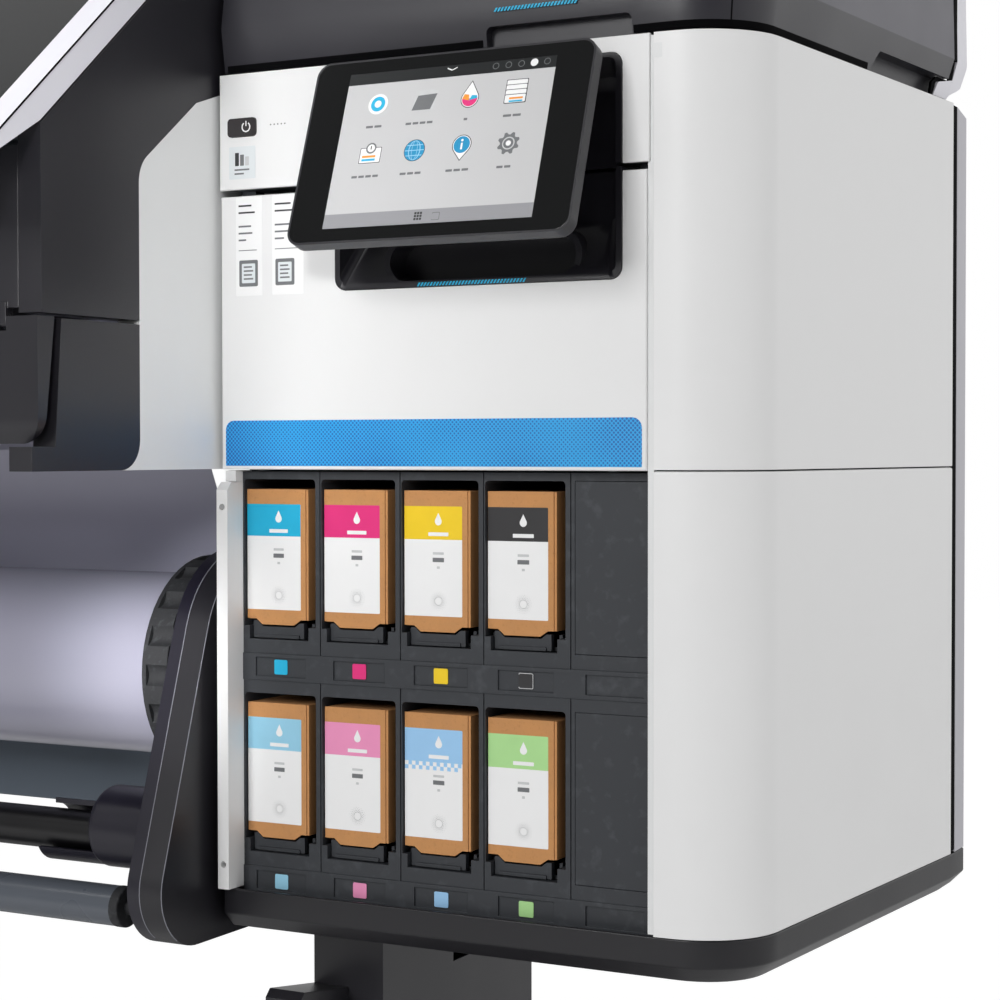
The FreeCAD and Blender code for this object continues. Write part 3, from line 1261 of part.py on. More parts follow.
def grey_edges():
    """Front edge of the grey cover in two runs of (y, z) points: beside the window, then below it."""
    dy = GREY_CREST[0] - GREY_Y
    turn = math.atan2(GREY_CREST[1] - GREY_SHOULDER_Z, dy)
    setback = GREY_EASE_R * math.tan((math.pi / 2 - turn) / 2)
    shoulder = arc_points((GREY_Y + GREY_EASE_R, GREY_SHOULDER_Z - setback), GREY_EASE_R,
                          90 + math.degrees(turn), 180, ARC_STEPS)
    foot = arc_points((GREY_Y - GREY_FOOT_R, MODULE_LOW + GREY_FOOT_R), GREY_FOOT_R, 0, -90, ARC_STEPS)
    return [(GREY_LEDGE_Y, GREY_TOP), GREY_CREST] + shoulder, foot


def grey_ends():
    """End covers of the print zone, bored for the drive roller, with pads to the towers."""
    beside, foot = grey_edges()
    outline = beside + foot + [(GREY_BACK, MODULE_LOW), (GREY_BACK, GREY_DECK), (WINDOW_FOOT, GREY_DECK),
                               (WINDOW_FOOT, GREY_TOP)]
    cover = prism_x(outline, -END_IN_X, -END_OUT_X)
    pad = box(-END_OUT_X, -WALL_X, PAD_Y, PAD_Y + PAD_D, PAD_Z, PAD_Z + PAD_D)
    bore = rod_x(-END_IN_X - 1, -END_OUT_X + 1, DRIVE_AXIS, DRIVE_SHAFT_R + RUNNING)
    return pair(cut(fuse(cover, pad), bore))


def dark_ends():
    """Dark covers in front of the grey ones: the window's seat and the block beside the flap."""
    beside, foot = grey_edges()
    seat = WINDOW_INNER_FRONT - GAP
    upper = [(GREY_Y, FLAP_TOP + GAP), (FRONT_Y, FLAP_TOP + GAP), (FRONT_Y, seat), (GREY_LEDGE_Y, DARK_TOP),
             (WINDOW_FOOT, DARK_TOP), (WINDOW_FOOT, GREY_TOP)] + beside
    block = FRONT_Y + FLAP_D + DARK_STEP
    lower = [(GREY_Y, FLAP_TOP - 1), (block, FLAP_TOP - 1), (block - DARK_SLANT, FLAP_LOW - GAP),
             (DARK_FRONT, FLAP_LOW - GAP), (DARK_FRONT, MODULE_LOW)] + foot[::-1]
    solids = [prism_x(outline, -END_IN_X, -END_OUT_X) for outline in (upper, lower)]
    return pair(Part.makeCompound(solids))


def curing_housing():
    """Long heated housing ahead of the platen, with slots in its sloping top."""
    x0 = flip(-END_IN_X)
    x1 = -END_IN_X
    back = PLATEN_Y - END_GAP
    outer = prism_x([(FRONT_Y, HOUSING_LOW), (FRONT_Y, HOUSING_TOP), (back - HOUSING_LIP, PLATEN_Z),
                     (back, PLATEN_Z), (back, HOUSING_LOW)], x0, x1)
    w = HOUSING_WALL
    inner = prism_x([(FRONT_Y + w, HOUSING_LOW - 1), (FRONT_Y + w, HOUSING_TOP - w), (back - HOUSING_LIP, PLATEN_Z - 2 * w),
                     (back - w, PLATEN_Z - 2 * w), (back - w, HOUSING_LOW - 1)], x0, x1)
    span = (x1 - x0) / VENT_COLUMNS
    vents = []
    for column in range(VENT_COLUMNS):
        for y in (FRONT_Y + VENT_PITCH, FRONT_Y + 2 * VENT_PITCH, FRONT_Y + 3 * VENT_PITCH):
            vents.append(box(x0 + span * column + VENT_RIB, x0 + span * (column + 1) - VENT_RIB,
                             y, y + VENT_W, HOUSING_TOP - 2 * w, PLATEN_Z + 1))
    body = cut(outer, inner, *vents)
    return fuse(body, *flap_ears())


def flap_ears():
    ears = []
    for x in FLAP_HINGES:
        disc = rod_x(x - EAR_HALF, x + EAR_HALF, FLAP_AXIS, FLAP_EAR_R)
        arm = box(x - EAR_HALF, x + EAR_HALF, FLAP_AXIS[0] - FLAP_EAR_R, FLAP_AXIS[0] + FLAP_EAR_R,
                  FLAP_AXIS[1], HOUSING_LOW + HOUSING_WALL)
        ears.append(cut(fuse(disc, arm), rod_x(x - EAR_HALF - 1, x + EAR_HALF + 1, FLAP_AXIS, PIN_R)))
    return ears


def curing_flap():
    """Long flap under the housing, hung from three hinges."""
    y = FRONT_Y - GAP
    nose = FLAP_NOSE
    outline = [(y + FLAP_D, FLAP_TOP), (y, FLAP_TOP), (y, FLAP_LOW + FLAP_D), (y + nose / 5, FLAP_LOW + nose),
               (y + 3 * nose / 4, FLAP_LOW), (y + nose, FLAP_LOW + nose)]
    x_end = END_OUT_X + GAP
    ends = box(flip(-x_end), -x_end, y - 1, y + FLAP_D + 1, FLAP_LOW, FLAP_TOP)
    ends = round_edges(ends, FLAP_CORNER_R, lambda edge: along(edge, 1) and edge.BoundBox.ZMax < FLAP_LOW + 1)
    bar = prism_x(outline, flip(-x_end), -x_end).common(ends)
    tools = []
    stations = sorted(FLAP_HINGES)
    for left, right in zip(stations, stations[1:]):
        tools.append(box(left + FLAP_BLOCK, right - FLAP_BLOCK, y + PLATE, y + FLAP_D + 1, FLAP_LOW - 1, FLAP_TOP + 1))
    for x in FLAP_HINGES:
        tools.append(box(x - EAR_HALF - SLACK, x + EAR_HALF + SLACK, y - 1, y + FLAP_D + 1,
                         FLAP_AXIS[1] - FLAP_EAR_R - GAP, FLAP_TOP + 1))
        tools.append(rod_x(x - EAR_HALF - KNUCKLE_L, x + EAR_HALF + KNUCKLE_L, FLAP_AXIS, PIN_R + RUNNING))
    return cut(bar, *tools)


WINDOW_RISE = (WINDOW_TOP - WINDOW_EDGE_Z) / (WINDOW_BEND_Y - WINDOW_FRONT)


def window_height(y):
    """Height of the window's outer face at a depth."""
    return WINDOW_TOP - (WINDOW_BEND_Y - y) * WINDOW_RISE


def window_frame():
    """Sloping frame of the window, hinged along its top edge."""
    under = WINDOW_TOP - WINDOW_T
    outline = [(WINDOW_BACK, WINDOW_TOP), (WINDOW_BEND_Y, WINDOW_TOP), (WINDOW_FRONT, WINDOW_EDGE_Z),
               (WINDOW_FRONT + 1, WINDOW_LIP_Z), (WINDOW_FRONT + WINDOW_LIP_D, WINDOW_LIP_Z),
               (WINDOW_SILL, WINDOW_INNER_SILL), (FRONT_Y, WINDOW_INNER_FRONT),
               (WINDOW_INNER_BEND, under), (WINDOW_BACK, under)]
    frame = prism_x(outline, flip(-END_OUT_X), -END_OUT_X)
    view = box(flip(-END_OUT_X) + WINDOW_BAR, -END_OUT_X - WINDOW_BAR, WINDOW_SILL, WINDOW_HEAD,
               HOUSING_LOW, HEIGHT)
    tools = [view]
    y, z = WINDOW_AXIS
    for x in WINDOW_HINGES:
        tools.append(box(x - WINDOW_EAR_HALF - SLACK, x + WINDOW_EAR_HALF + SLACK, y - WINDOW_EAR_R - SKIN,
                         WINDOW_BACK + 1, z - WINDOW_T, z + WINDOW_T))
        tools.append(rod_x(x - 3 * WINDOW_EAR_HALF, x + 3 * WINDOW_EAR_HALF, WINDOW_AXIS, WINDOW_PIN_R + RUNNING))
    return cut(frame, *tools)


def window_pane():
    """Dark pane, set below the face of its frame."""
    drop = PANE_SET / math.cos(math.atan(WINDOW_RISE))
    thick = PANE_T / math.cos(math.atan(WINDOW_RISE))
    outline = []
    for y, depth in ((WINDOW_SILL, drop + thick), (WINDOW_HEAD, drop + thick), (WINDOW_HEAD, drop),
                     (WINDOW_SILL, drop)):
        outline.append((y, window_height(y) - depth))
    return prism_x(outline, flip(-END_OUT_X) + WINDOW_BAR, -END_OUT_X - WINDOW_BAR)


def window_ears():
    ears = []
    y, z = WINDOW_AXIS
    r = WINDOW_EAR_R
    for x in WINDOW_HINGES:
        disc = rod_x(x - WINDOW_EAR_HALF, x + WINDOW_EAR_HALF, WINDOW_AXIS, r)
        arm = box(x - WINDOW_EAR_HALF, x + WINDOW_EAR_HALF, y, WINDOW_BACK + PLATE + SKIN / 2, z - r, z + r)
        pin = rod_x(x - WINDOW_EAR_HALF - 1, x + WINDOW_EAR_HALF + 1, WINDOW_AXIS, WINDOW_PIN_R)
        ears.append(cut(fuse(disc, arm), pin))
    return ears


def platen():
    """Flat printing surface: a base and two strips, with the groove that the cutter runs in between."""
    x0 = flip(-END_IN_X)
    x1 = -END_IN_X
    floor = PLATEN_Z - CUT_SLOT_D
    base = box(x0, x1, PLATEN_Y, PLATEN_BACK, PLATEN_Z - PLATEN_T, floor)
    front = box(x0, x1, PLATEN_Y, CUTTER_AXIS_Y - CUT_SLOT_W / 2, floor, PLATEN_Z)
    back = box(x0, x1, CUTTER_AXIS_Y + CUT_SLOT_W / 2, PLATEN_BACK, floor, PLATEN_Z)
    return Part.makeCompound([base, front, back])


def tube_beam(x0, x1, y0, y1, z0, z1, wall):
    """Rectangular tube along X."""
    return cut(box(x0, x1, y0, y1, z0, z1), box(x0, x1, y0 + wall, y1 - wall, z0 + wall, z1 - wall))


def pinch_stations():
    first = -END_IN_X - PINCH_SET
    step = (flip(first) - first) / (PINCH_COUNT - 1)
    return [first + step * index for index in range(PINCH_COUNT)]


def frame_beams():
    """Load-bearing beams between the towers, with the carrier of the rail and the pinch arms."""
    x0 = flip(-WALL_X)
    x1 = -WALL_X
    main = tube_beam(x0, x1, BEAM_Y, RAIL_Y + RAIL_D, BEAM_Z, BEAM_Z + BEAM_H, SHEET)
    y = RAIL_Y + RAIL_D
    middle = box(flip(-END_OUT_X), -END_OUT_X, y, y + CARRIER_T, BEAM_Z, WINDOW_TOP)
    wings = box(-WIDTH + CARRIER_END, -CARRIER_END, y, y + CARRIER_T, DECK_Z + SHEET, CARRIER_TOP)
    axis = pinch_axis()
    arms = []
    for x in pinch_stations():
        toe = axis[0] - ARM_TOE
        sole = axis[1] - PINCH_SHAFT_R - SLACK * 2
        foot = BEAM_Z + BEAM_H
        near = BEAM_Y + GAP
        outline = [(toe, sole), (toe + ARM_SOLE, sole), (near, foot + ARM_KNEE), (near, foot - 1),
                   (near + ARM_D, foot - 1), (near + ARM_D, foot + ARM_KNEE + ARM_LIFT),
                   (toe + ARM_BACK, CARRIAGE_Z - GAP), (toe, CARRIAGE_Z - GAP)]
        arm = prism_x(outline, x - ARM_HALF, x + ARM_HALF)
        arms.append(cut(arm, rod_x(x - EAR_W, x + EAR_W, axis, PINCH_SHAFT_R + RUNNING)))
    under = tube_beam(flip(-END_IN_X), -END_IN_X, UNDER_Y, UNDER_Y + UNDER_D, UNDER_Z, PLATEN_Z - PLATEN_T, SHEET)
    return Part.makeCompound([fuse(main, middle, wings, *arms), under])


def pinch_axis():
    return (DRIVE_AXIS[0], DRIVE_AXIS[1] + DRIVE_R + 2 * SLACK + WEB_T + PINCH_R)


def drive_roller():
    """Rubber-coated roller that feeds the media, on turned journals."""
    inner = END_IN_X + GAP
    body = rod_x(flip(-inner), -inner, DRIVE_AXIS, DRIVE_R)
    journal = rod_x(-inner, -END_OUT_X - GAP, DRIVE_AXIS, DRIVE_SHAFT_R)
    return fuse(body, journal, mirrored(journal))


def pinch_rollers():
    """Shaft with one soft wheel beside each arm."""
    axis = pinch_axis()
    end = END_IN_X + END_GAP
    wheels = []
    for x in pinch_stations():
        side = -1 if x > CENTRE_X else 1
        near = x + side * (ARM_HALF + SLACK)
        far = near + side * WHEEL_L
        wheels.append(rod_x(min(near, far), max(near, far), axis, PINCH_R))
    return fuse(rod_x(flip(-end), -end, axis, PINCH_SHAFT_R), *wheels)


def guide_rails():
    """Carriage rail, cutter rail and the bar that the media bends around."""
    carriage_rail = box(-WIDTH + RAIL_INSET, -RAIL_INSET, RAIL_Y, RAIL_Y + RAIL_D, RAIL_Z, RAIL_Z + RAIL_H)
    groove = box(-WIDTH + RAIL_INSET, -RAIL_INSET, RAIL_Y - 1, RAIL_Y + SKIN,
                 RAIL_Z + RAIL_H / 2 - SKIN, RAIL_Z + RAIL_H / 2 + SKIN)
    cutter_rail = box(flip(-END_IN_X), -END_IN_X, CUTTER_RAIL_Y, CUTTER_RAIL_Y + CUTTER_RAIL_D,
                      CUTTER_RAIL_Z - CUTTER_RAIL_H / 2, CUTTER_RAIL_Z + CUTTER_RAIL_H / 2)
    return Part.makeCompound([cut(carriage_rail, groove), cutter_rail, guide_bar()])


def belt_drive():
    """Toothed belt of the carriage around its two pulleys, which stand on brackets."""
    x_right = -RAIL_INSET - 2 * PULLEY_R
    x_left = -WIDTH - x_right
    z0 = BELT_Z
    z1 = BELT_Z + BELT_H
    reach = PULLEY_R + BELT_T
    outer = fuse(rod_z(z0, z1, x_right, PULLEY_Y, reach), rod_z(z0, z1, x_left, PULLEY_Y, reach),
                 box(x_left, x_right, PULLEY_Y - reach, PULLEY_Y + reach, z0, z1))
    hollow = fuse(rod_z(z0, z1, x_right, PULLEY_Y, PULLEY_R), rod_z(z0, z1, x_left, PULLEY_Y, PULLEY_R),
                  box(x_left, x_right, PULLEY_Y - PULLEY_R, PULLEY_Y + PULLEY_R, z0, z1))
    pieces = [cut(outer, hollow)]
    for x in (x_left, x_right):
        wheel = rod_z(z0, z1, x, PULLEY_Y, PULLEY_R)
        flange = rod_z(z1, z1 + SKIN / 2, x, PULLEY_Y, reach)
        axle = rod_z(RAIL_Z + RAIL_H, z0, x, PULLEY_Y, PINCH_R)
        pieces.append(fuse(wheel, flange, axle))
    return Part.makeCompound(pieces)


def print_carriage():
    """Carriage with its row of print heads, hooked over the rail."""
    x0 = -CARRIAGE_X
    x1 = -CARRIAGE_X + CARRIAGE_W
    back = RAIL_Y - RUNNING
    top = RAIL_Z + RAIL_H + RUNNING
    body = box(x0, x1, CARRIAGE_Y, back, CARRIAGE_Z, top)
    body = round_edges(body, EAR_W, lambda edge: along(edge, 0) and edge.BoundBox.YMax < CARRIAGE_Y + 1)
    bridge = box(x0, x1, CARRIAGE_Y + RAIL_D, RAIL_Y + RAIL_D - GAP, top, top + HOOK_T)
    room = box(x0 + EAR_W, x1 - EAR_W, CARRIAGE_Y + HEAD_D * 2, back - RAIL_D, CARRIAGE_Z + EAR_W, RAIL_Z + RAIL_H)
    pitch = CARRIAGE_W / HEAD_COUNT
    heads = []
    for index in range(HEAD_COUNT):
        x = x0 + pitch * index
        heads.append(box(x + HEAD_SET, x + pitch - HEAD_SET, HEAD_Y, HEAD_Y + HEAD_D, HEAD_LOW, CARRIAGE_Z))
    return Part.makeCompound([cut(fuse(body, bridge), room)] + heads)


def service_station():
    """Capping and wiping station below the parked carriage."""
    block = box(-CARRIAGE_X, -CARRIAGE_X + CARRIAGE_W, HEAD_Y - EAR_W * 2, HEAD_Y + HEAD_D + EAR_W * 2,
                DECK_Z + SHEET, PLATEN_Z)
    pitch = CARRIAGE_W / HEAD_COUNT
    pockets = []
    for index in range(HEAD_COUNT):
        x = -CARRIAGE_X + pitch * index
        pockets.append(box(x + HEAD_SET, x + pitch - HEAD_SET, HEAD_Y, HEAD_Y + HEAD_D,
                           PLATEN_Z - EAR_W, PLATEN_Z + 1))
    return cut(block, *pockets)


BLADE_Z = PLATEN_Z - CUT_SLOT_D + 1 + BLADE_R


def cutter_carriage():
    """Holder of the cutting wheel, hooked around its rail."""
    x0 = -CUTTER_X
    x1 = -CUTTER_X + CUTTER_W
    y1 = CUTTER_RAIL_Y - RUNNING
    top = CUTTER_RAIL_Z + CUTTER_RAIL_H / 2 + RUNNING
    back = CUTTER_RAIL_Y + CUTTER_RAIL_D + RUNNING
    body = box(x0, x1, CUTTER_BODY_Y, y1, PLATEN_Z + END_GAP, top + HOOK_T)
    body = round_edges(body, EAR_W, lambda edge: along(edge, 1) and edge.BoundBox.ZMin > top)
    hook = box(x0, x1, CUTTER_BODY_Y + EAR_W, back + PLATE, top, top + HOOK_T)
    heel = box(x0, x1, back, back + PLATE, CUTTER_RAIL_Z, top + 1)
    bore = rod_y(CUTTER_BODY_Y - 1, CUTTER_BODY_Y + EAR_W, (x0 + x1) / 2, BLADE_Z, BLADE_SHAFT_R + RUNNING)
    return cut(fuse(body, hook, heel), bore)


def cutter_blade():
    """Sharpened cutting wheel on its short shaft."""
    x = -CUTTER_X + CUTTER_W / 2
    disc = rod_y(CUTTER_AXIS_Y - BLADE_T / 2, CUTTER_AXIS_Y + BLADE_T / 2, x, BLADE_Z, BLADE_R)
    disc = disc.makeChamfer(BLADE_T / 3, [edge for edge in disc.Edges if isinstance(edge.Curve, Part.Circle)])
    shaft = rod_y(CUTTER_AXIS_Y, CUTTER_BODY_Y + EAR_W - SLACK, x, BLADE_Z, BLADE_SHAFT_R)
    return fuse(disc, shaft)


def hinge_pins():
    """Pins of the door, display, cap, window and flap hinges."""
    pins = []
    reach = EAR_HALF + KNUCKLE_L
    for stations, axis in ((DOOR_HINGES, DOOR_AXIS), (CAP_HINGES, CAP_AXIS), (FLAP_HINGES, FLAP_AXIS)):
        pins += [hinge_pin(x, axis, reach - SLACK, PIN_R) for x in stations]
    pins += [hinge_pin(x, WINDOW_AXIS, 3 * WINDOW_EAR_HALF - SLACK, WINDOW_PIN_R) for x in WINDOW_HINGES]
    pins.append(hinge_pin(SCREEN[0], PIVOT, LUG_W / 2 + SLACK + EAR_W, PIVOT_R))
    return Part.makeCompound(pins)


# ================================================================ export
def node_shapes():
    nodes = {
        "leg_frame": Part.makeCompound([pair(right_leg()), stand_beam()]),
        "foot_spars": foot_spars(),
        "levelling_feet": levelling_feet(),
        "stand_brackets": Part.makeCompound([leg_gussets(), arm_brackets()]),
        "roll_arms_outer": roll_arms_outer(),
        "roll_arms_inner": roll_arms_inner(),
        "tube_hubs": tube_hubs(),
        "take_up_tube": take_up_tube(),
        "guide_roller": guide_roller(),
        "roller_ends": roller_ends(),
        "roll_hubs": roll_hubs(),
        "media_roll": media_roll(),
        "roll_core": roll_core(),
        "media_web": media_web(),
        "cross_panel": cross_panel(),
        "panel_screws": panel_screws(),
        "right_chassis": right_chassis(),
        "right_corner_panels": Part.makeCompound([right_corner_upper(), right_corner_lower()]),
        "skirts": skirts(),
        "cartridge_rack": cartridge_rack(),
        "bay_trims": bay_trims(),
        "bay_post": bay_post(),
        "front_door": front_door(),
        "door_pocket": door_pocket(),
        "display_pocket": display_pocket(),
        "display_shell": display_shell(),
        "display_glass": display_glass(),
        "upper_panel": upper_panel(),
        "power_button": power_button(),
        "right_cap": right_cap(),
        "top_covers": top_covers(),
        "rear_covers": rear_covers(),
        "rear_top_covers": rear_top_covers(),
        "left_cover": left_cover(),
        "left_chassis": left_chassis(),
        "grey_ends": grey_ends(),
        "dark_ends": dark_ends(),
        "curing_housing": curing_housing(),
        "curing_flap": curing_flap(),
        "window_frame": window_frame(),
        "window_pane": window_pane(),
        "platen": platen(),
        "frame_beams": frame_beams(),
        "drive_roller": drive_roller(),
        "pinch_rollers": pinch_rollers(),
        "guide_rails": guide_rails(),
        "belt_drive": belt_drive(),
        "print_carriage": print_carriage(),
        "service_station": service_station(),
        "cutter_carriage": cutter_carriage(),
        "cutter_blade": cutter_blade(),
        "hinge_pins": hinge_pins(),
    }
    for row in (0, 1):
        for column in range(INK_COLUMNS):
            nodes["ink_box_%d" % (row * INK_COLUMNS + column + 1)] = ink_box(column, row)
    return nodes


def main():
    os.makedirs("parts", exist_ok=True)
    move = vec(WIDTH / 2, DEPTH / 2 - BACK_Y, BASE_Z)
    for name, shape in node_shapes().items():
        shape.translate(move)
        if not shape.isValid() or not shape.Solids:
            raise ValueError(name)
        shape.exportStep("parts/%s.step" % name)
        size = shape.BoundBox
        print("%-20s %3d  %9.1f cm3  x %8.1f %8.1f  y %7.1f %7.1f  z %7.1f %7.1f" % (
            name, len(shape.Solids), shape.Volume / 1000, size.XMin, size.XMax,
            size.YMin, size.YMax, size.ZMin, size.ZMax))


main()
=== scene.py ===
"""Finishes, printed marks and fine parts of the wide-format printer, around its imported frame."""

import math

import bmesh
import bpy
from mathutils import Matrix, Vector


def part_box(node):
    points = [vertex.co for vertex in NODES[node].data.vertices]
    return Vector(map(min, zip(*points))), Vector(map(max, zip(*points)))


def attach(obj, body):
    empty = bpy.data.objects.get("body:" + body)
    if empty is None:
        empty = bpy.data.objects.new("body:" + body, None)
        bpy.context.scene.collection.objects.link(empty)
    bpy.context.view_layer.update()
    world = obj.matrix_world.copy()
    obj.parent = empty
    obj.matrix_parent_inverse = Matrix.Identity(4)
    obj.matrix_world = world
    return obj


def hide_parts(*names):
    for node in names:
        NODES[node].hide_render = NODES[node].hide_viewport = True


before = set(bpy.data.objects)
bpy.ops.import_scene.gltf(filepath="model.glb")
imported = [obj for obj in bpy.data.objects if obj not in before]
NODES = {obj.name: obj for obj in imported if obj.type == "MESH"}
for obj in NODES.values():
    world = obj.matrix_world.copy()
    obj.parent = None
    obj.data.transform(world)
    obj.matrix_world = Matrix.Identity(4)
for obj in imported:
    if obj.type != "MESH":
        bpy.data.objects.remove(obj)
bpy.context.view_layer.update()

# ================================================================ places
# Lengths are millimetres from the right tower's corner: its outer side, its front and the
# bottom edge of its white panels. X grows to the right, Y to the back, Z up.
MM = 0.001
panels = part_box("right_corner_panels")
ORIGIN = Vector((panels[1].x, panels[0].y, panels[0].z))


def place(x, y, z):
    """Point of the row frame, in metres."""
    return ORIGIN + Vector((x, y, z)) * MM


def span(node):
    """Lowest and highest corner of a CAD node, in millimetres from the tower's corner."""
    return [(corner - ORIGIN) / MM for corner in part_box(node)]


def face(origin, across, up):
    """Matrix from a face's own millimetres (across, up, outwards) to the row frame."""
    across, up = Vector(across), Vector(up)
    matrix = Matrix((across, up, across.cross(up))).transposed().to_4x4()
    matrix = matrix @ Matrix.Scale(MM, 4)
    matrix.translation = place(*origin)
    return matrix


def front(y):
    """Face that looks forward at a depth; its own axes are X and Z."""
    return face((0, y, 0), (1, 0, 0), (0, 0, 1))


# Right tower: heights of its cap, and the plan of its corner and outer side, which runs
# outwards towards the back.
CAP_LOW = 626.0
CREASE = 660.0
CREASE_FRONT = 32.0
SIDE_END = 391.0
SIDE_SPREAD = 32.0
REAR_FRONT = 402.0
CORNER_R = 60.0
TAPER = math.atan2(SIDE_SPREAD, SIDE_END)


# ================================================================ materials
def colour(code):
    """Linear colour of a web colour code."""
    values = [int(code[i:i + 2], 16) / 255 for i in (0, 2, 4)]
    return [v / 12.92 if v <= 0.04045 else ((v + 0.055) / 1.055) ** 2.4 for v in values] + [1.0]


def node_of(tree, kind, **values):
    """Adds a shader node; inputs go by name, settings by attribute."""
    node = tree.nodes.new("ShaderNode" + kind)
    for key, value in values.items():
        if hasattr(node, key):
            setattr(node, key, value)
        else:
            node.inputs[key.replace("_", " ")].default_value = value
    return node


def noise(tree, vector, size, detail=3.0, stretch=(1, 1, 1)):
    """Noise whose features are about `size` millimetres."""
    mapping = node_of(tree, "Mapping", Scale=stretch)
    tree.links.new(vector, mapping.inputs["Vector"])
    node = node_of(tree, "TexNoise", Scale=1 / (size * MM), Detail=detail)
    tree.links.new(mapping.outputs["Vector"], node.inputs["Vector"])
    return node.outputs["Fac"]


def ramp(tree, value, low, high, to_low=0.0, to_high=1.0):
    node = node_of(tree, "MapRange", From_Min=low, From_Max=high, To_Min=to_low, To_Max=to_high)
    tree.links.new(value, node.inputs["Value"])
    return node.outputs["Result"]


def mix(tree, factor, first, second):
    """Mixes two colours; each is a colour list or a socket."""
    node = node_of(tree, "Mix", data_type="RGBA")
    tree.links.new(factor, node.inputs["Factor"])
    for socket, value in ((node.inputs[6], first), (node.inputs[7], second)):
        if isinstance(value, (list, tuple)):
            socket.default_value = value
        else:
            tree.links.new(value, socket)
    return node.outputs[2]


def shade(code, factor):
    return [min(1.0, c * factor) for c in colour(code)[:3]] + [1.0]


def material(name, code, rough=0.45, metal=0.0, vary=0.03, patch=70.0, grain=0.25, grain_size=0.5,
             stretch=(1, 1, 1), marks=None, **shader):
    """Moulded or painted finish: slow colour drift, fine grain in bump and roughness, and scuffs."""
    mat = bpy.data.materials.new(name)
    mat.use_nodes = True
    tree = mat.node_tree
    bsdf = tree.nodes["Principled BSDF"]
    where = node_of(tree, "TexCoord").outputs["Object"]
    drift = noise(tree, where, patch)
    tint = mix(tree, ramp(tree, drift, 0.3, 0.7), shade(code, 1 - vary), shade(code, 1 + vary))
    fine = noise(tree, where, grain_size, 4.0, stretch)
    tint = mix(tree, ramp(tree, fine, 0.25, 0.75, 0, min(1, vary * 6)), tint, shade(code, 1 - 2 * vary))
    if marks:
        scuffs = noise(tree, where, marks[1], 6.0)
        tint = mix(tree, ramp(tree, scuffs, 0.56, 0.74, 0, marks[2]), tint, colour(marks[0]))
    tree.links.new(tint, bsdf.inputs["Base Color"])
    tree.links.new(ramp(tree, drift, 0.3, 0.7, rough * 0.92, min(1, rough * 1.08)), bsdf.inputs["Roughness"])
    bump = node_of(tree, "Bump", Strength=grain, Distance=grain_size * MM * 0.3)
    tree.links.new(fine, bump.inputs["Height"])
    tree.links.new(bump.outputs["Normal"], bsdf.inputs["Normal"])
    bsdf.inputs["Metallic"].default_value = metal
    for key, value in shader.items():
        bsdf.inputs[key.replace("_", " ")].default_value = value
    return mat


WHITE = material("white_panel", "e9e9e9", 0.42, vary=0.008, grain=0.10, grain_size=0.9)
WHITE_TRIM = material("white_plastic", "dfdee5", 0.40, vary=0.010, grain=0.10)
LIGHT_GREY = material("light_grey_plastic", "e3e4e4", 0.45, vary=0.012, grain=0.15)
REAR_GREY = material("rear_grey_plastic", "bbbac0", 0.50, vary=0.012, grain=0.15)
CHARCOAL = material("charcoal_plastic", "1f1e23", 0.38, vary=0.05, grain=0.30, grain_size=0.6)
CAP = material("charcoal_cap", "1f1e24", 0.40, vary=0.04, grain=0.45, grain_size=0.5)
# The hinged cap's own copy of the cap material; it also carries the painted light above the crease.
HINGED_CAP = material("hinged_cap", "25242b", 0.40, vary=0.04, grain=0.45, grain_size=0.5)
RACK = material("rack_plastic", "2e3136", 0.55, vary=0.06, grain=0.40, grain_size=0.7,
                marks=("53565b", 9.0, 0.30))
INNER_ARM = material("inner_arm_plastic", "1a1824", 0.36, vary=0.05, grain=0.30, grain_size=0.6)
STAND = material("stand_steel", "222126", 0.38, vary=0.05, grain=0.30, grain_size=0.4)
CHASSIS = material("chassis_steel", "6e7276", 0.40, 0.8, vary=0.04, grain=0.10)
SLATE = material("grey_panel", "57616c", 0.48, vary=0.03, grain=0.20)
KRAFT = material("kraft_board", "c68e59", 0.85, vary=0.05, patch=14.0, grain=0.35, grain_size=0.7,
                 stretch=(1, 1, 0.25), marks=("ad7847", 2.2, 0.45))
# Darker board that paints the shade in the gap between a carton's front flap and its side.
KRAFT_GAP_SHADE = material("kraft_gap_shade", "8a5a33", 0.9, vary=0.10, patch=4.0, grain=0.5, grain_size=0.5)
CORE = material("core_board", "a98562", 0.85, vary=0.06, patch=8.0, grain=0.4)
MEDIA = material("media_vinyl", "9c9bab", 0.26, vary=0.012, patch=220.0, grain=0.03, grain_size=3.0)
TUBE = material("black_tube", "070609", 0.36, vary=0.06, grain=0.10)
ROLLER = material("roller_grey", "565b63", 0.28, vary=0.03, grain=0.15)
RUBBER = material("black_rubber", "26272a", 0.70, vary=0.15, patch=7.0, grain=0.6, grain_size=0.9,
                  marks=("45474a", 5.0, 0.5))
STEEL = material("machined_steel", "b4b6b9", 0.25, 1.0, vary=0.03, grain=0.15, stretch=(0.1, 1, 1))
ALUMINIUM = material("extruded_aluminium", "c3c5c8", 0.35, 1.0, vary=0.03, grain=0.2, stretch=(0.05, 1, 1))
GLASS = material("screen_glass", "030405", 0.10, vary=0.05, grain=0.02, Coat_Weight=0.4)
ACRYLIC = material("window_acrylic", "33393f", 0.05, vary=0.02, grain=0.01, Transmission_Weight=1.0, IOR=1.3,
                   Specular_IOR_Level=0.15)
BUTTON = material("button_black", "2b2628", 0.35, vary=0.05, grain=0.2)
SCREW = material("screw_steel", "5b6067", 0.35, 0.9, vary=0.06, grain=0.2)
# Near black with little shine that paints shade into seams, gaps and under the cap's lip.
BLACK_LINE = material("shadow_black", "08080a", 0.85, vary=0.10, grain=0.2, Specular_IOR_Level=0.05)
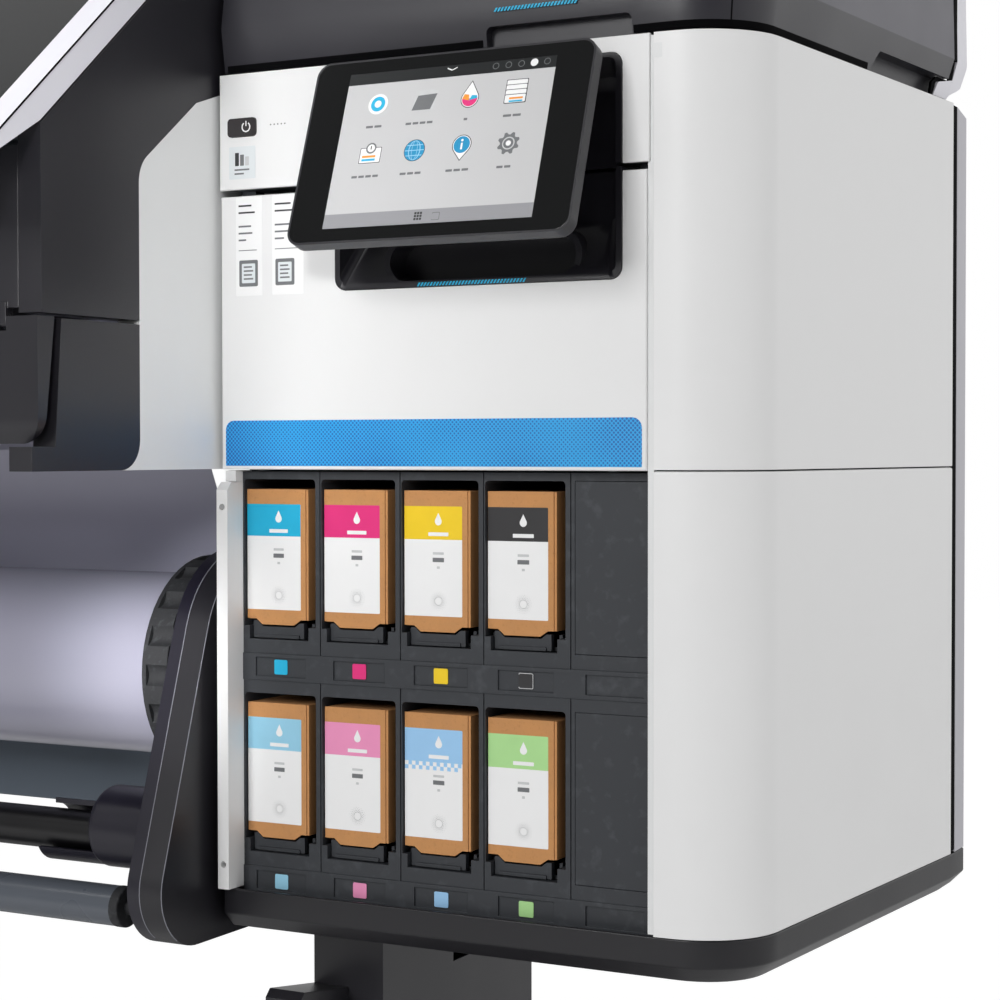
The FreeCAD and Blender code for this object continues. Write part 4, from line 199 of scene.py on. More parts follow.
# Light grey that paints the highlight caught along the roll arm's rounded edges.
PAINTED_EDGE_HIGHLIGHT = material("painted_edge_highlight", "85868f", 0.40, vary=0.08, patch=30.0, grain=0.2)
DARK_TRIM = material("dark_trim", "151419", 0.36, vary=0.05, grain=0.30, grain_size=0.6)
GLOSS_BLACK = material("glossy_black", "1c1b20", 0.30, vary=0.04, grain=0.05)
PAPER = material("label_paper", "f3f3f3", 0.50, vary=0.006, patch=20.0, grain=0.10, grain_size=0.4)
PALE = material("sticker_film", "dfe4e6", 0.40, vary=0.010, patch=20.0, grain=0.05)
INK_GREY = material("printed_grey", "6f7173", 0.55, vary=0.05, patch=6.0, grain=0.1)
INK_DARK = material("printed_dark", "2c2d2f", 0.50, vary=0.05, patch=6.0, grain=0.1)
INK_PALE = material("printed_pale", "c9cacb", 0.55, vary=0.04, patch=6.0, grain=0.1)
SCREEN = material("lit_screen", "c6c6c7", 0.55, vary=0.010, patch=90.0, grain=0.02)
SCREEN_BAR = material("lit_bar", "959599", 0.55, vary=0.015, patch=60.0, grain=0.02)
SCREEN_DARK = material("dark_bar", "0d1113", 0.30, vary=0.05, patch=60.0, grain=0.02)


def print_ink(name, code):
    return material("ink_" + name, code, 0.42, vary=0.02, patch=15.0, grain=0.05)


INKS = [print_ink("cyan", "12b2dc"), print_ink("magenta", "e4287c"), print_ink("yellow", "f5cf12"),
        print_ink("black", "2a292b"), print_ink("pale_cyan", "97cfe8"), print_ink("pink", "ef94bf"),
        print_ink("pale_blue", "9ccbf2"), print_ink("pale_green", "aedf94")]
ORANGE = print_ink("orange", "f29a2e")


def halftone():
    """Blue film with a diagonal lattice of darker dots that grow along the strip."""
    mat = material("blue_halftone", "2ba6e6", 0.38, vary=0.02, patch=60.0, grain=0.03)
    tree = mat.node_tree
    bsdf = tree.nodes["Principled BSDF"]
    where = node_of(tree, "TexCoord").outputs["Object"]
    parts = node_of(tree, "SeparateXYZ")
    tree.links.new(where, parts.inputs[0])
    flat = node_of(tree, "CombineXYZ")
    tree.links.new(parts.outputs["X"], flat.inputs["X"])
    tree.links.new(parts.outputs["Z"], flat.inputs["Y"])
    turned = node_of(tree, "Mapping", Rotation=(0, 0, math.radians(45)))
    tree.links.new(flat.outputs[0], turned.inputs["Vector"])
    dots = node_of(tree, "TexVoronoi", voronoi_dimensions="2D", Scale=1 / (DOT_PITCH * MM), Randomness=0.0)
    tree.links.new(turned.outputs["Vector"], dots.inputs["Vector"])
    slow = noise(tree, where, 110.0, 1.0)
    size = ramp(tree, slow, 0.35, 0.65, 0.26, 0.44)
    lack = node_of(tree, "Math", operation="SUBTRACT")
    tree.links.new(size, lack.inputs[0])
    tree.links.new(dots.outputs["Distance"], lack.inputs[1])
    inside = ramp(tree, lack.outputs[0], -0.05, 0.05)
    old = bsdf.inputs["Base Color"].links[0].from_socket
    tree.links.new(mix(tree, inside, old, colour("0f5fb0")), bsdf.inputs["Base Color"])
    return mat


DOT_PITCH = 2.3
BLUE = halftone()


# ================================================================ shapes
def rect(u0, v0, u1, v1, radius=0.0, steps=4):
    """Corners of a rectangle, rounded by a radius or by one for each corner from low left, anticlockwise."""
    radii = radius if isinstance(radius, (list, tuple)) else [radius] * 4
    points = []
    for index, (u, v) in enumerate(((u0, v0), (u1, v0), (u1, v1), (u0, v1))):
        r = radii[index]
        if r <= 0:
            points.append((u, v))
            continue
        cu = u + (r if index in (0, 3) else -r)
        cv = v + (r if index in (0, 1) else -r)
        for step in range(steps + 1):
            angle = math.radians(180 + 90 * index + 90 * step / steps)
            points.append((cu + r * math.cos(angle), cv + r * math.sin(angle)))
    return points


def disc(u, v, radius, steps=24, start=0.0, turn=360.0):
    """Points of a circle, or of an arc when the turn is smaller."""
    count = steps if turn >= 360 else steps + 1
    return [(u + radius * math.cos(math.radians(start + turn * k / steps)),
             v + radius * math.sin(math.radians(start + turn * k / steps))) for k in range(count)]


def drop(u, v, radius, tip, steps=20):
    """Teardrop with its round part at (u, v) and its tip above, or below when the tip is negative."""
    lean = math.degrees(math.asin(radius / abs(tip)))
    arc = disc(u, v, radius, steps, 180 - lean, 180 + 2 * lean)
    if tip < 0:
        arc = [(a, 2 * v - b) for a, b in reversed(arc)]
        return arc + [(u, v + tip)]
    return arc + [(u, v + tip)]


class Piece:
    """One mesh gathered from prisms, each with its own material."""

    def __init__(self, name):
        self.name = name
        self.bm = bmesh.new()
        self.materials = []

    def index(self, mat):
        if mat not in self.materials:
            self.materials.append(mat)
        return self.materials.index(mat)

    def solid(self, outline, where, height, mat, below=0.0):
        """Prism over an outline, from `below` under the face to `height` above it."""
        rings = [[self.bm.verts.new(where @ Vector((u, v, level))) for u, v in outline]
                 for level in (-below, height)]
        count = len(outline)
        faces = [self.bm.faces.new(list(reversed(rings[0]))), self.bm.faces.new(rings[1])]
        for k in range(count):
            n = (k + 1) % count
            faces.append(self.bm.faces.new((rings[0][k], rings[0][n], rings[1][n], rings[1][k])))
        for item in faces:
            item.material_index = self.index(mat)
        return self

    def band(self, outer, inner, where, height, mat, below=0.0):
        """Flat frame between two outlines of as many points, as a closed strip or an open arc."""
        loops = [[self.bm.verts.new(where @ Vector((u, v, level))) for u, v in outline]
                 for outline in (outer, inner) for level in (-below, height)]
        low_out, top_out, low_in, top_in = loops
        count = len(outer)
        closed = math.dist(outer[0], outer[-1]) < 3 * math.dist(outer[0], outer[1])
        faces = []
        for k in range(count if closed else count - 1):
            n = (k + 1) % count
            faces += [(top_out[k], top_out[n], top_in[n], top_in[k]),
                      (low_in[k], low_in[n], low_out[n], low_out[k]),
                      (low_out[k], low_out[n], top_out[n], top_out[k]),
                      (top_in[k], top_in[n], low_in[n], low_in[k])]
        if not closed:
            for k in (0, count - 1):
                faces.append((low_out[k], top_out[k], top_in[k], low_in[k]))
        for quad in faces:
            self.bm.faces.new(quad).material_index = self.index(mat)
        return self

    def block(self, x0, x1, y0, y1, z0, z1, mat):
        """Rectangular block between two corners."""
        return self.solid(rect(x0, z0, x1, z1), front(y0), 0.0, mat, y1 - y0)

    def tube(self, path, radius, mat, steps=12):
        """Round bar along a path of points."""
        rings = []
        points = [place(*point) for point in path]
        turns = [2 * math.pi * s / steps for s in range(steps)]
        for k, point in enumerate(points):
            ahead = (points[min(k + 1, len(points) - 1)] - points[max(k - 1, 0)]).normalized()
            first = ahead.orthogonal() if k == 0 else first - ahead * first.dot(ahead)
            first.normalize()
            second = ahead.cross(first)
            ring = [point + (first * math.cos(a) + second * math.sin(a)) * radius * MM for a in turns]
            rings.append([self.bm.verts.new(spot) for spot in ring])
        faces = [list(reversed(rings[0])), rings[-1]]
        for low, top in zip(rings, rings[1:]):
            faces += [(low[s], low[(s + 1) % steps], top[(s + 1) % steps], top[s]) for s in range(steps)]
        for item in faces:
            self.bm.faces.new(item).material_index = self.index(mat)
        return self

    def finish(self, body, slot, bevel=0.0, sharp=32.0):
        """The piece as an object that rides on a body."""
        bmesh.ops.recalc_face_normals(self.bm, faces=self.bm.faces)
        for edge in self.bm.edges:
            edge.smooth = not edge.is_manifold or edge.calc_face_angle(0) < math.radians(sharp)
        for item in self.bm.faces:
            item.smooth = True
        mesh = bpy.data.meshes.new(self.name)
        self.bm.to_mesh(mesh)
        self.bm.free()
        for mat in self.materials:
            mesh.materials.append(mat)
        obj = bpy.data.objects.new(self.name, mesh)
        bpy.context.scene.collection.objects.link(obj)
        if bevel:
            soften(obj, bevel, weld=False)
        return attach(obj, body)


def soften(obj, width, weld=True):
    """Rounds an object's sharp edges by a width in millimetres."""
    if weld:
        obj.modifiers.new("weld", "WELD").merge_threshold = 0.01 * MM
    bevel = obj.modifiers.new("edge", "BEVEL")
    bevel.width = width * MM
    bevel.segments = 2
    bevel.limit_method = "ANGLE"
    bevel.angle_limit = math.radians(35)
    bevel.harden_normals = False
    obj.modifiers.new("normals", "WEIGHTED_NORMAL").keep_sharp = False


# ================================================================ finishes of the CAD nodes
FINISH = {
    WHITE: {"right_corner_panels": 1.0, "front_door": 1.2, "upper_panel": 1.0, "left_cover": 1.0,
            "bay_post": 0.6},
    WHITE_TRIM: {"window_frame": 1.5, "rear_top_covers": 1.0},
    REAR_GREY: {"rear_covers": 1.0},
    LIGHT_GREY: {"grey_ends": 1.2},
    CHARCOAL: {"roll_arms_outer": 0.8, "dark_ends": 1.0, "curing_flap": 0.8, "display_shell": 0.5,
               "curing_housing": 0.8, "print_carriage": 0.8, "service_station": 0.8, "cutter_carriage": 0.5},
    CAP: {"top_covers": 1.2},
    HINGED_CAP: {"right_cap": 1.2},
    INNER_ARM: {"roll_arms_inner": 0.8, "tube_hubs": 0.6},
    DARK_TRIM: {"skirts": 1.2},
    GLOSS_BLACK: {"display_pocket": 0.8, "door_pocket": 0.8},
    RACK: {"cartridge_rack": 0.5, "bay_trims": 0.4},
    STAND: {"leg_frame": 0.8, "foot_spars": 0.8, "stand_brackets": 0.6},
    CHASSIS: {"right_chassis": 0.0, "left_chassis": 0.0, "frame_beams": 0.0, "levelling_feet": 0.0},
    SLATE: {"cross_panel": 0.6, "platen": 0.4},
    CORE: {"roll_core": 0.3},
    MEDIA: {"media_roll": 0.3, "media_web": 0.0},
    TUBE: {"take_up_tube": 0.3},
    ROLLER: {"guide_roller": 0.3},
    RUBBER: {"roll_hubs": 0.6, "roller_ends": 0.2, "pinch_rollers": 0.2, "drive_roller": 0.0,
             "belt_drive": 0.0},
    STEEL: {"cutter_blade": 0.0, "hinge_pins": 0.0},
    ALUMINIUM: {"guide_rails": 0.3},
    GLASS: {"display_glass": 0.3},
    ACRYLIC: {"window_pane": 0.0},
    BUTTON: {"power_button": 0.4},
    SCREW: {"panel_screws": 0.2},
}
for mat, members in FINISH.items():
    for node, edge in members.items():
        obj = NODES[node]
        obj.data.materials.clear()
        obj.data.materials.append(mat)
        if edge:
            soften(obj, edge)

CREASE_BLUR = 0.4 * MM
DEPTH_BLUR = 10.0 * MM


def paint_light_above(mat, obj, code, height, depth):
    """Paints light into a material: a lighter tone above a height and behind a depth of the part."""
    tree = mat.node_tree
    bsdf = tree.nodes["Principled BSDF"]
    parts = node_of(tree, "SeparateXYZ")
    tree.links.new(node_of(tree, "TexCoord").outputs["Object"], parts.inputs[0])
    edge = obj.matrix_world.inverted() @ place(0, depth, height)
    above = ramp(tree, parts.outputs["Z"], edge.z - CREASE_BLUR, edge.z + CREASE_BLUR)
    behind = ramp(tree, parts.outputs["Y"], edge.y - DEPTH_BLUR, edge.y + DEPTH_BLUR)
    both = node_of(tree, "Math", operation="MULTIPLY")
    tree.links.new(above, both.inputs[0])
    tree.links.new(behind, both.inputs[1])
    old = bsdf.inputs["Base Color"].links[0].from_socket
    tree.links.new(mix(tree, both.outputs[0], old, colour(code)), bsdf.inputs["Base Color"])


bpy.context.view_layer.update()
# Painted light: the cap's upper side band, above its crease and behind its front, gets a lighter tone as if
# it caught more light.
paint_light_above(HINGED_CAP, NODES["right_cap"], "504f58", CREASE, CREASE_FRONT)

# ================================================================ blue strip on the door
STRIP = (-456.0, 325.5, -107.5, 360.0)
STRIP_RADII = (0.6, 0.6, 7.0, 7.0)
door_face = front(span("front_door")[0].y)
strip = Piece("blue_strip").solid(rect(*STRIP, STRIP_RADII), door_face, 0.25, BLUE, 0.2)
strip.finish("door", "white_panel")

# ================================================================ power button, lamps and stickers
button_face = front(span("power_button")[0].y)
RING_AT = (-435.7, 583.0)
mark = Piece("power_mark")
outer, inner = (disc(*RING_AT, radius, 24, 125, 290) for radius in (4.0, 3.0))
mark.band(outer, inner, button_face, 0.15, PAPER, 0.2)
bar = rect(RING_AT[0] - 0.5, RING_AT[1] + 0.6, RING_AT[0] + 0.5, RING_AT[1] + 4.6, 0.3)
mark.solid(bar, button_face, 0.15, PAPER, 0.2)
mark.finish("button", "button_black")

panel_face = front(span("upper_panel")[0].y)
LAMP_PITCH = 3.2
lamps = Piece("status_lamps")
for k in range(5):
    lamps.solid(disc(-414.0 + LAMP_PITCH * k, 583.4, 0.55, 12), panel_face, 0.1, INK_DARK, 0.3)
lamps.finish("frame", "button_black")

chart = Piece("calibration_sticker")
chart.solid(rect(-452.0, 544.0, -428.0, 568.6, 0.8), panel_face, 0.2, PALE, 0.2)
for k, tone in enumerate((INK_DARK, INK_GREY, INK_PALE)):
    chart.solid(rect(-446.5 + 4.6 * k, 554.0, -443.0 + 4.6 * k, 564.0 - 1.6 * k, 0.4), panel_face, 0.3, tone)
for k in range(2):
    chart.solid(rect(-447.0, 550.4 - 3.0 * k, -433.5 - 5.0 * k, 551.6 - 3.0 * k), panel_face, 0.3, INK_GREY)
chart.finish("frame", "white_panel")

# Each line's length, as a share of the sticker's width; 0 leaves a gap.
LINES = (0.62, 0.78, 0.0, 0.60, 0.66, 0.36)
LINE_PITCH = 5.2
NOTE_EDGE = 2.5
notes = Piece("door_notes")
for left, right in ((-446.0, -422.0), (-413.0, -385.0)):
    notes.solid(rect(left, 455.0, right, 530.0, 0.8), door_face, 0.15, PAPER, 0.2)
    start = left + NOTE_EDGE
    for k, share in enumerate(LINES):
        if share:
            top = 524.0 - LINE_PITCH * k
            line = rect(start, top - 1.3, start + (right - left - 2 * NOTE_EDGE) * share, top)
            notes.solid(line, door_face, 0.25, INK_DARK if k < 2 else INK_GREY)
    notes.solid(rect(start, 489.2, right - 2 * NOTE_EDGE, 489.8), door_face, 0.25, INK_GREY)
    notes.solid(rect(left + 3.0, 462.0, left + 20.0, 482.0, 1.2), door_face, 0.25, INK_GREY)
    notes.solid(rect(left + 5.4, 464.6, left + 17.6, 479.4, 0.8), door_face, 0.32, PALE)
    for k in range(4):
        low = 467.2 + 3.0 * k
        notes.solid(rect(left + 7.2, low, left + 15.8 - 1.2 * (k % 2), low + 1.2), door_face, 0.38, INK_GREY)
notes.finish("door", "white_panel")


def hatch(name, u0, u1, v0, v1, where, body, slot, pitch=2.6):
    """Row of slanted blue dashes that marks a grip."""
    piece = Piece(name)
    count = round((u1 - u0) / pitch)
    wide = pitch * 0.55
    lean = (v1 - v0) * 0.6
    for k in range(count):
        u = u0 + (u1 - u0) * k / count
        dash = [(u, v0), (u + wide, v0), (u + wide + lean, v1), (u + lean, v1)]
        piece.solid(dash, where, 0.15, INKS[0], 0.2)
    return piece.finish(body, slot)


pocket_face = front(span("door_pocket")[0].y)
hatch("door_grip_marks", -286.0, -197.0, 456.6, 459.4, pocket_face, "door", "charcoal_plastic")
cap_face = front(span("right_cap")[0].y)
hatch("cap_grip_marks", -223.0, -157.0, 649.6, 652.4, cap_face, "cap", "charcoal_cap")

# ================================================================ seams of the right tower
CAP_UNDERCUT = 5.0
CAP_LEFT = -456.0
CAP_GRIP = (-234.0, -116.0)
HAND_START = 220.0
LIP_H = 5.2
LIP_IN, LIP_OUT = 0.8, 0.22
LIP_STEPS = 24
SEAM_TOP = 622.0
SEAM_REAR = REAR_FRONT - 0.2


def corner_point(turn, inset, grow=0.0):
    """Plan point on the tower's rounded corner: turn 0 at its front end, 1 at its side end."""
    x = -inset - SIDE_SPREAD * (1 - inset / SIDE_END)
    radius = CORNER_R - inset
    reach = radius * math.tan((math.pi / 2 - TAPER) / 2)
    angle = (math.pi / 2 - TAPER) * turn
    out = radius + grow
    return (x - reach + out * math.sin(angle), inset + radius - out * math.cos(angle))


def side_point(y, inset, grow=0.0):
    """Plan point on the tower's slanted outer side."""
    return (-inset - (SIDE_END - y) * math.tan(TAPER) + grow, y)


turned_side = face((0, SIDE_END, 0), (math.sin(TAPER), math.cos(TAPER), 0), (0, 0, 1))
# Painted shade: dark strips in the upright seam behind the side and the cap, and in the stepped
# seam between the cap and the tongue of the rear cover; the last two are outlines on the slanted side.
seams = Piece("seam_shade_strips")
seams.block(-2.8, -0.3, SIDE_END + 0.2, SEAM_REAR, 2.0, SEAM_TOP, BLACK_LINE)
seams.block(-2.6, -0.5, 392.6, SEAM_REAR, CREASE - 1.0, 742.0, BLACK_LINE)
rise = [(-6.0, 641.0), (3.0, 641.0), (11.5, CREASE - 1.5), (2.5, CREASE - 1.5)]
seams.solid(rise, turned_side, -3.0, BLACK_LINE, 4.4)
step = [(-40.0, 626.6), (-33.4, 626.6), (-27.0, 638.0), (-20.0, 638.5), (4.0, 639.5), (4.0, 642.4),
        (-25.0, 642.4), (-36.5, 636.5)]
seams.solid(step, turned_side, -5.4, BLACK_LINE, 7.4)
seams.finish("frame", "black_rubber")

filler = Piece("door_seam_filler")
filler.block(-103.8, -99.2, 2.0, 5.0, 1.0, SEAM_TOP + 0.5, LIGHT_GREY)
filler.solid(rect(-99.0, 606.5, -92.5, 616.5, 0.6), front(0.0), 0.12, LIGHT_GREY, 0.4)
filler.finish("frame", "white_panel")


def foot_inset(z):
    """How far the cap's foot stands in from its crease at a height."""
    return CAP_UNDERCUT - CAP_UNDERCUT / (CREASE - CAP_LOW) * (z - CAP_LOW)


def rim_strip(piece, plan, low, high, mat):
    """Thin strip that follows the leaning foot of the cap between two heights."""
    rows = []
    for z in (low, high):
        inset = foot_inset(z)
        for grow in (-LIP_IN, LIP_OUT):
            rows.append([piece.bm.verts.new(place(*plan(t / LIP_STEPS, inset, grow), z))
                         for t in range(LIP_STEPS + 1)])
    loops = (rows[0], rows[1], rows[3], rows[2])
    for one, two in zip(loops, loops[1:] + loops[:1]):
        for k in range(LIP_STEPS):
            quad = (one[k], one[k + 1], two[k + 1], two[k])
            piece.bm.faces.new(quad).material_index = piece.index(mat)
    for k in (0, LIP_STEPS):
        piece.bm.faces.new([loop[k] for loop in loops]).material_index = piece.index(mat)


def left_of_grip(t, inset, grow):
    """Plan point on the cap's front, from its left end to the grip."""
    return (CAP_LEFT + (CAP_GRIP[0] - CAP_LEFT) * t, inset - grow)


def right_of_grip(t, inset, grow):
    """Plan point on the cap's front, from the grip to the rounded corner."""
    return (CAP_GRIP[1] + (corner_point(0, inset)[0] - CAP_GRIP[1]) * t, inset - grow)


CORNER_END = corner_point(1, 0)[1]


def along_side(t, inset, grow):
    """Plan point on the outer side, from the rounded corner to the hand recess."""
    return side_point(CORNER_END + (HAND_START - CORNER_END) * t, inset, grow)


# Painted shade: a near-black band round the cap's undercut foot stands in for the shade under its overhang,
# and a black line up the rounded corner paints the shade in the seam there.
lip = Piece("cap_lip_shade")
for plan in (left_of_grip, right_of_grip, corner_point, along_side):
    rim_strip(lip, plan, CAP_LOW, CAP_LOW + LIP_H, BLACK_LINE)
fold = corner_point(0.5, 0)
lip.tube([(*corner_point(0.5, CAP_UNDERCUT), CAP_LOW + 0.5), (*fold, CREASE),
          (fold[0] - 1.6, fold[1] + 12.0, 735.0)], 0.55, BLACK_LINE, 8)
lip.finish("cap", "charcoal_cap")

post_head = Piece("bay_post_head")
post_head.block(-460.8, -451.4, 6.0, 28.0, 313.4, 321.6, WHITE)
post_head.block(-459.5, -452.5, 8.0, 26.0, 312.9, 322.0, LIGHT_GREY)
post_head.finish("frame", "white_panel")

# ================================================================ painted shadow on the window's edge and painted highlights on the roll arm's edges
# Painted shadow: a black line along the window frame's right edge stands in for the shade at that edge.
window_end = span("window_frame")[1].x + 0.1
edge_line = Piece("window_edge_line")
edge_line.tube([(window_end, -287.4, 514.4), (window_end, 2.0, 770.0), (window_end, 40.0, 770.0)],
               0.75, BLACK_LINE, 8)
edge_line.finish("window", "black_rubber")

# Painted highlights: light-grey lines along the arm's front edges stand in for the light its rounded edges
# catch.
# The lines run round the arm's foot, straight up the tangent, and round its head.
FOOT_AT, FOOT_R = (-21.0, 4.0), 45.0
HEAD_AT, HEAD_R = (75.0, 176.0), 84.0
ARM_SEAM = -490.4
arm_highlights = Piece("arm_edge_highlights")
reach = math.dist(FOOT_AT, HEAD_AT)
slant = math.atan2(HEAD_AT[1] - FOOT_AT[1], HEAD_AT[0] - FOOT_AT[0])
tangent = math.degrees(slant + math.acos((FOOT_R - HEAD_R) / reach))
for x in (span("roll_arms_outer")[1].x - 0.1, ARM_SEAM):
    low = disc(*FOOT_AT, FOOT_R, 12, 235.0, tangent - 235.0)[:13]
    high = disc(*HEAD_AT, HEAD_R, 10, tangent, 105.0 - tangent)[:11]
    arm_highlights.tube([(x, u, v) for u, v in low + high], 0.38, PAINTED_EDGE_HIGHLIGHT, 6)
arm_highlights.finish("frame", "charcoal_plastic")

# ================================================================ display
SCREEN_AT = (-239.5, -51.8, 550.8)
TILT = math.radians(19.0)
screen_up = (0, math.sin(TILT), math.cos(TILT))
screen_face = face(SCREEN_AT, (1, 0, 0), screen_up)
glass = [screen_face.inverted() @ v.co for v in NODES["display_glass"].data.vertices]
GLASS_TOP = max(point.z for point in glass)
screen_face = screen_face @ Matrix.Translation((0, 0, GLASS_TOP))
PICTURE = (-83.0, -60.5, 83.0, 60.5)
STATUS_H = 9.0
DOCK_H = 10.8
LIFT = 0.05


class Screen(Piece):
    """Printed layers of the display's picture, each a little above the last."""

    def draw(self, outline, mat, layer=2):
        return self.solid(outline, screen_face, LIFT * layer, mat)

    def draw_band(self, outer, inner, mat, layer=2):
        return self.band(outer, inner, screen_face, LIFT * layer, mat)


BRIGHT_BLUE = print_ink("bright_blue", "0892c4")


def roll_icon(picture, u, v):
    picture.draw(disc(u, v, 8.4, 32), INK_PALE).draw(disc(u, v, 8.0, 32), PAPER, 3)
    picture.draw(disc(u, v, 5.8, 32), INKS[0], 4).draw(disc(u, v, 2.8), PAPER, 5)


def folder_icon(picture, u, v):
    back = [(u - 9.0, v - 7.5), (u + 8.0, v - 7.5), (u + 10.5, v + 7.0), (u + 4.5, v + 8.4),
            (u - 7.5, v + 7.6)]
    flap = [(u - 9.0, v - 7.5), (u + 6.0, v - 7.5), (u + 10.0, v + 4.5), (u - 5.4, v + 3.8)]
    picture.draw(back, INK_PALE).draw(flap, INK_GREY, 3)


def ink_icon(picture, u, v):
    picture.draw(drop(u, v, 7.2, 14.0), INK_DARK).draw(drop(u, v, 6.6, 13.0), PAPER, 3)
    picture.draw(disc(u, v, 6.0, 16, 180, 180), INKS[1], 4)
    picture.draw([(u - 6.0, v), (u - 0.5, v - 1.5), (u - 1.0, v + 3.0), (u - 4.6, v + 3.6)], ORANGE, 5)
    picture.draw([(u - 0.5, v - 1.5), (u + 6.0, v), (u + 5.4, v + 2.0), (u + 1.5, v + 2.4)], INKS[0], 5)


def colour_bars(picture, left, right, orange, blue, layer):
    """Two short bars, each given by its lowest and highest edge."""
    for (low, high), ink in ((orange, ORANGE), (blue, INKS[0])):
        picture.draw(rect(left, low, right, high), ink, layer)


def stack_icon(picture, u, v):
    for k, tone in enumerate((INK_DARK, PAPER)):
        edge = 0.5 * k
        for row in range(4):
            low = v - 8.5 + 3.8 * row
            sheet = rect(u - 8.5 + edge, low + edge, u + 8.5 - edge, low + 7.0 - edge, 0.8)
            picture.draw(sheet, tone, 6 - row + 0.5 * k)
    colour_bars(picture, u - 4.5, u + 6.0, (v - 5.4, v - 4.0), (v - 7.6, v - 6.4), 8)


def gauge_icon(picture, u, v):
    picture.draw(rect(u - 8.8, v - 7.4, u + 8.8, v + 4.8, 0.8), INK_DARK)
    picture.draw(rect(u - 8.3, v - 6.9, u + 8.3, v + 4.3, 0.6), PAPER, 3)
    colour_bars(picture, u - 6.5, u + 4.5, (v - 3.0, v - 1.4), (v - 5.6, v - 4.0), 4)
    picture.draw(disc(u, v + 4.2, 4.2), INK_GREY, 5).draw(disc(u, v + 4.2, 3.0), PAPER, 6)
    picture.draw(rect(u - 0.4, v + 3.2, u + 0.4, v + 6.0), INK_DARK, 7)


def globe_icon(picture, u, v):
    picture.draw(disc(u, v, 8.4, 32), INK_DARK).draw(disc(u, v, 8.0, 32), BRIGHT_BLUE, 3)
    angles = [math.tau * k / 24 for k in range(24)]
    for r in (2.6, 5.4):
        oval = [(u + r * math.cos(a) * 0.9, v + 7.6 * math.sin(a)) for a in angles]
        thin = [(u + (a - u) * 0.86, v + (b - v) * 0.94) for a, b in oval]
        picture.draw_band(oval, thin, INKS[4], 4)
    for k, half in ((-4, 6.4), (0, 7.6), (4, 6.4)):
        picture.draw(rect(u - half, v + k - 0.3, u + half, v + k + 0.3), INKS[4], 4)


def pin_icon(picture, u, v):
    picture.draw(drop(u, v, 7.6, -12.4), INK_DARK).draw(drop(u, v, 7.0, -11.4), PAPER, 3)
    picture.draw(disc(u, v, 6.4), BRIGHT_BLUE, 4)
    picture.draw(rect(u - 0.7, v - 3.6, u + 0.7, v + 1.4), PAPER, 5).draw(disc(u, v + 3.4, 1.0, 12), PAPER, 5)


def gear_icon(picture, u, v):
    teeth = []
    for k in range(32):
        r = 8.6 if k % 4 in (1, 2) else 6.6
        a = math.tau * (k + 0.5) / 32
        teeth.append((u + r * math.cos(a), v + r * math.sin(a)))
    picture.draw(teeth, INK_GREY).draw(disc(u, v, 4.8), INK_PALE, 3)
    picture.draw(disc(u, v, 3.9), INK_GREY, 4).draw(disc(u, v, 2.0), PAPER, 5)


ICONS = ((roll_icon, -55.3, 34.9), (folder_icon, -17.5, 34.9), (ink_icon, 19.4, 33.0),
         (stack_icon, 55.4, 34.9), (gauge_icon, -54.2, -4.0), (globe_icon, -18.3, -4.0),
         (pin_icon, 19.3, -2.4), (gear_icon, 55.9, -4.0))
# Height of each row of captions, and how wide each caption is; they stand under the icons.
CAPTIONS = ((17.2, (14.0, 23.0, 4.0, 15.0)), (-21.6, (23.0, 18.0, 19.0, 12.0)))
CAPTION_AT = (-55.0, -17.9, 19.3, 55.6)
WORD = 6.0
GRID_PITCH = 2.2
STATUS_AT = (36.0, 46.0, 56.0, 66.0, 76.0)
STATUS_V = 56.6
STATUS_FULL = 3

picture = Screen("display_picture")
left, low, right, high = PICTURE
picture.draw(rect(left, low + DOCK_H, right, high - STATUS_H), SCREEN, 1)
picture.draw(rect(left, low, right, low + DOCK_H), SCREEN_BAR, 1)
picture.draw(rect(left, high - STATUS_H, right, high), SCREEN_DARK, 1)
for icon, u, v in ICONS:
    icon(picture, u, v)
for row, widths in CAPTIONS:
    for u, wide in zip(CAPTION_AT, widths):
        count = max(1, round(wide / WORD))
        for k in range(count):
            start = u - wide / 2 + wide * k / count
            picture.draw(rect(start, row - 0.9, start + wide / count - 1.2, row + 0.9, 0.3), INK_GREY)
for k in range(9):
    u, v = -9.2 + GRID_PITCH * (k % 3), -57.8 + GRID_PITCH * (k // 3)
    picture.draw(rect(u, v, u + 1.7, v + 1.7), INK_DARK)
picture.draw_band(rect(5.0, -58.6, 11.2, -52.6, 0.8), rect(5.5, -58.1, 10.7, -53.1, 0.5), INK_GREY)
for a, v_a, b, v_b in ((-3.0, 58.0, 1.0, 56.2), (1.0, 56.2, 5.0, 58.0)):
    picture.draw([(a, v_a), (a + 0.3, v_a + 0.9), (b + 0.3, v_b + 0.9), (b, v_b)], PAPER)
for k, u in enumerate(STATUS_AT):
    if k == STATUS_FULL:
        picture.draw(disc(u, STATUS_V, 2.9), PAPER)
    else:
        picture.draw_band(disc(u, STATUS_V, 2.5), disc(u, STATUS_V, 2.0), INK_GREY)
picture.finish("display", "screen_glass")

# ================================================================ ink cartons
PITCH = 70.4
COLUMNS = 4
FIRST_X = -451.0
CARTON_W = 57.6
CARTON_LOW = 207.1
TRAY_LOW = 192.3
ROW_DROP = 164.8
BOARD = 1.4
LABEL_W = 49.0
# Lower edge of the label, the line between its white and coloured parts, and its upper edge.
LABEL_Z = (214.7, 271.4, 296.0)
CHECKED = 6
CHECK = 3.0
SEAL_DOTS = 20


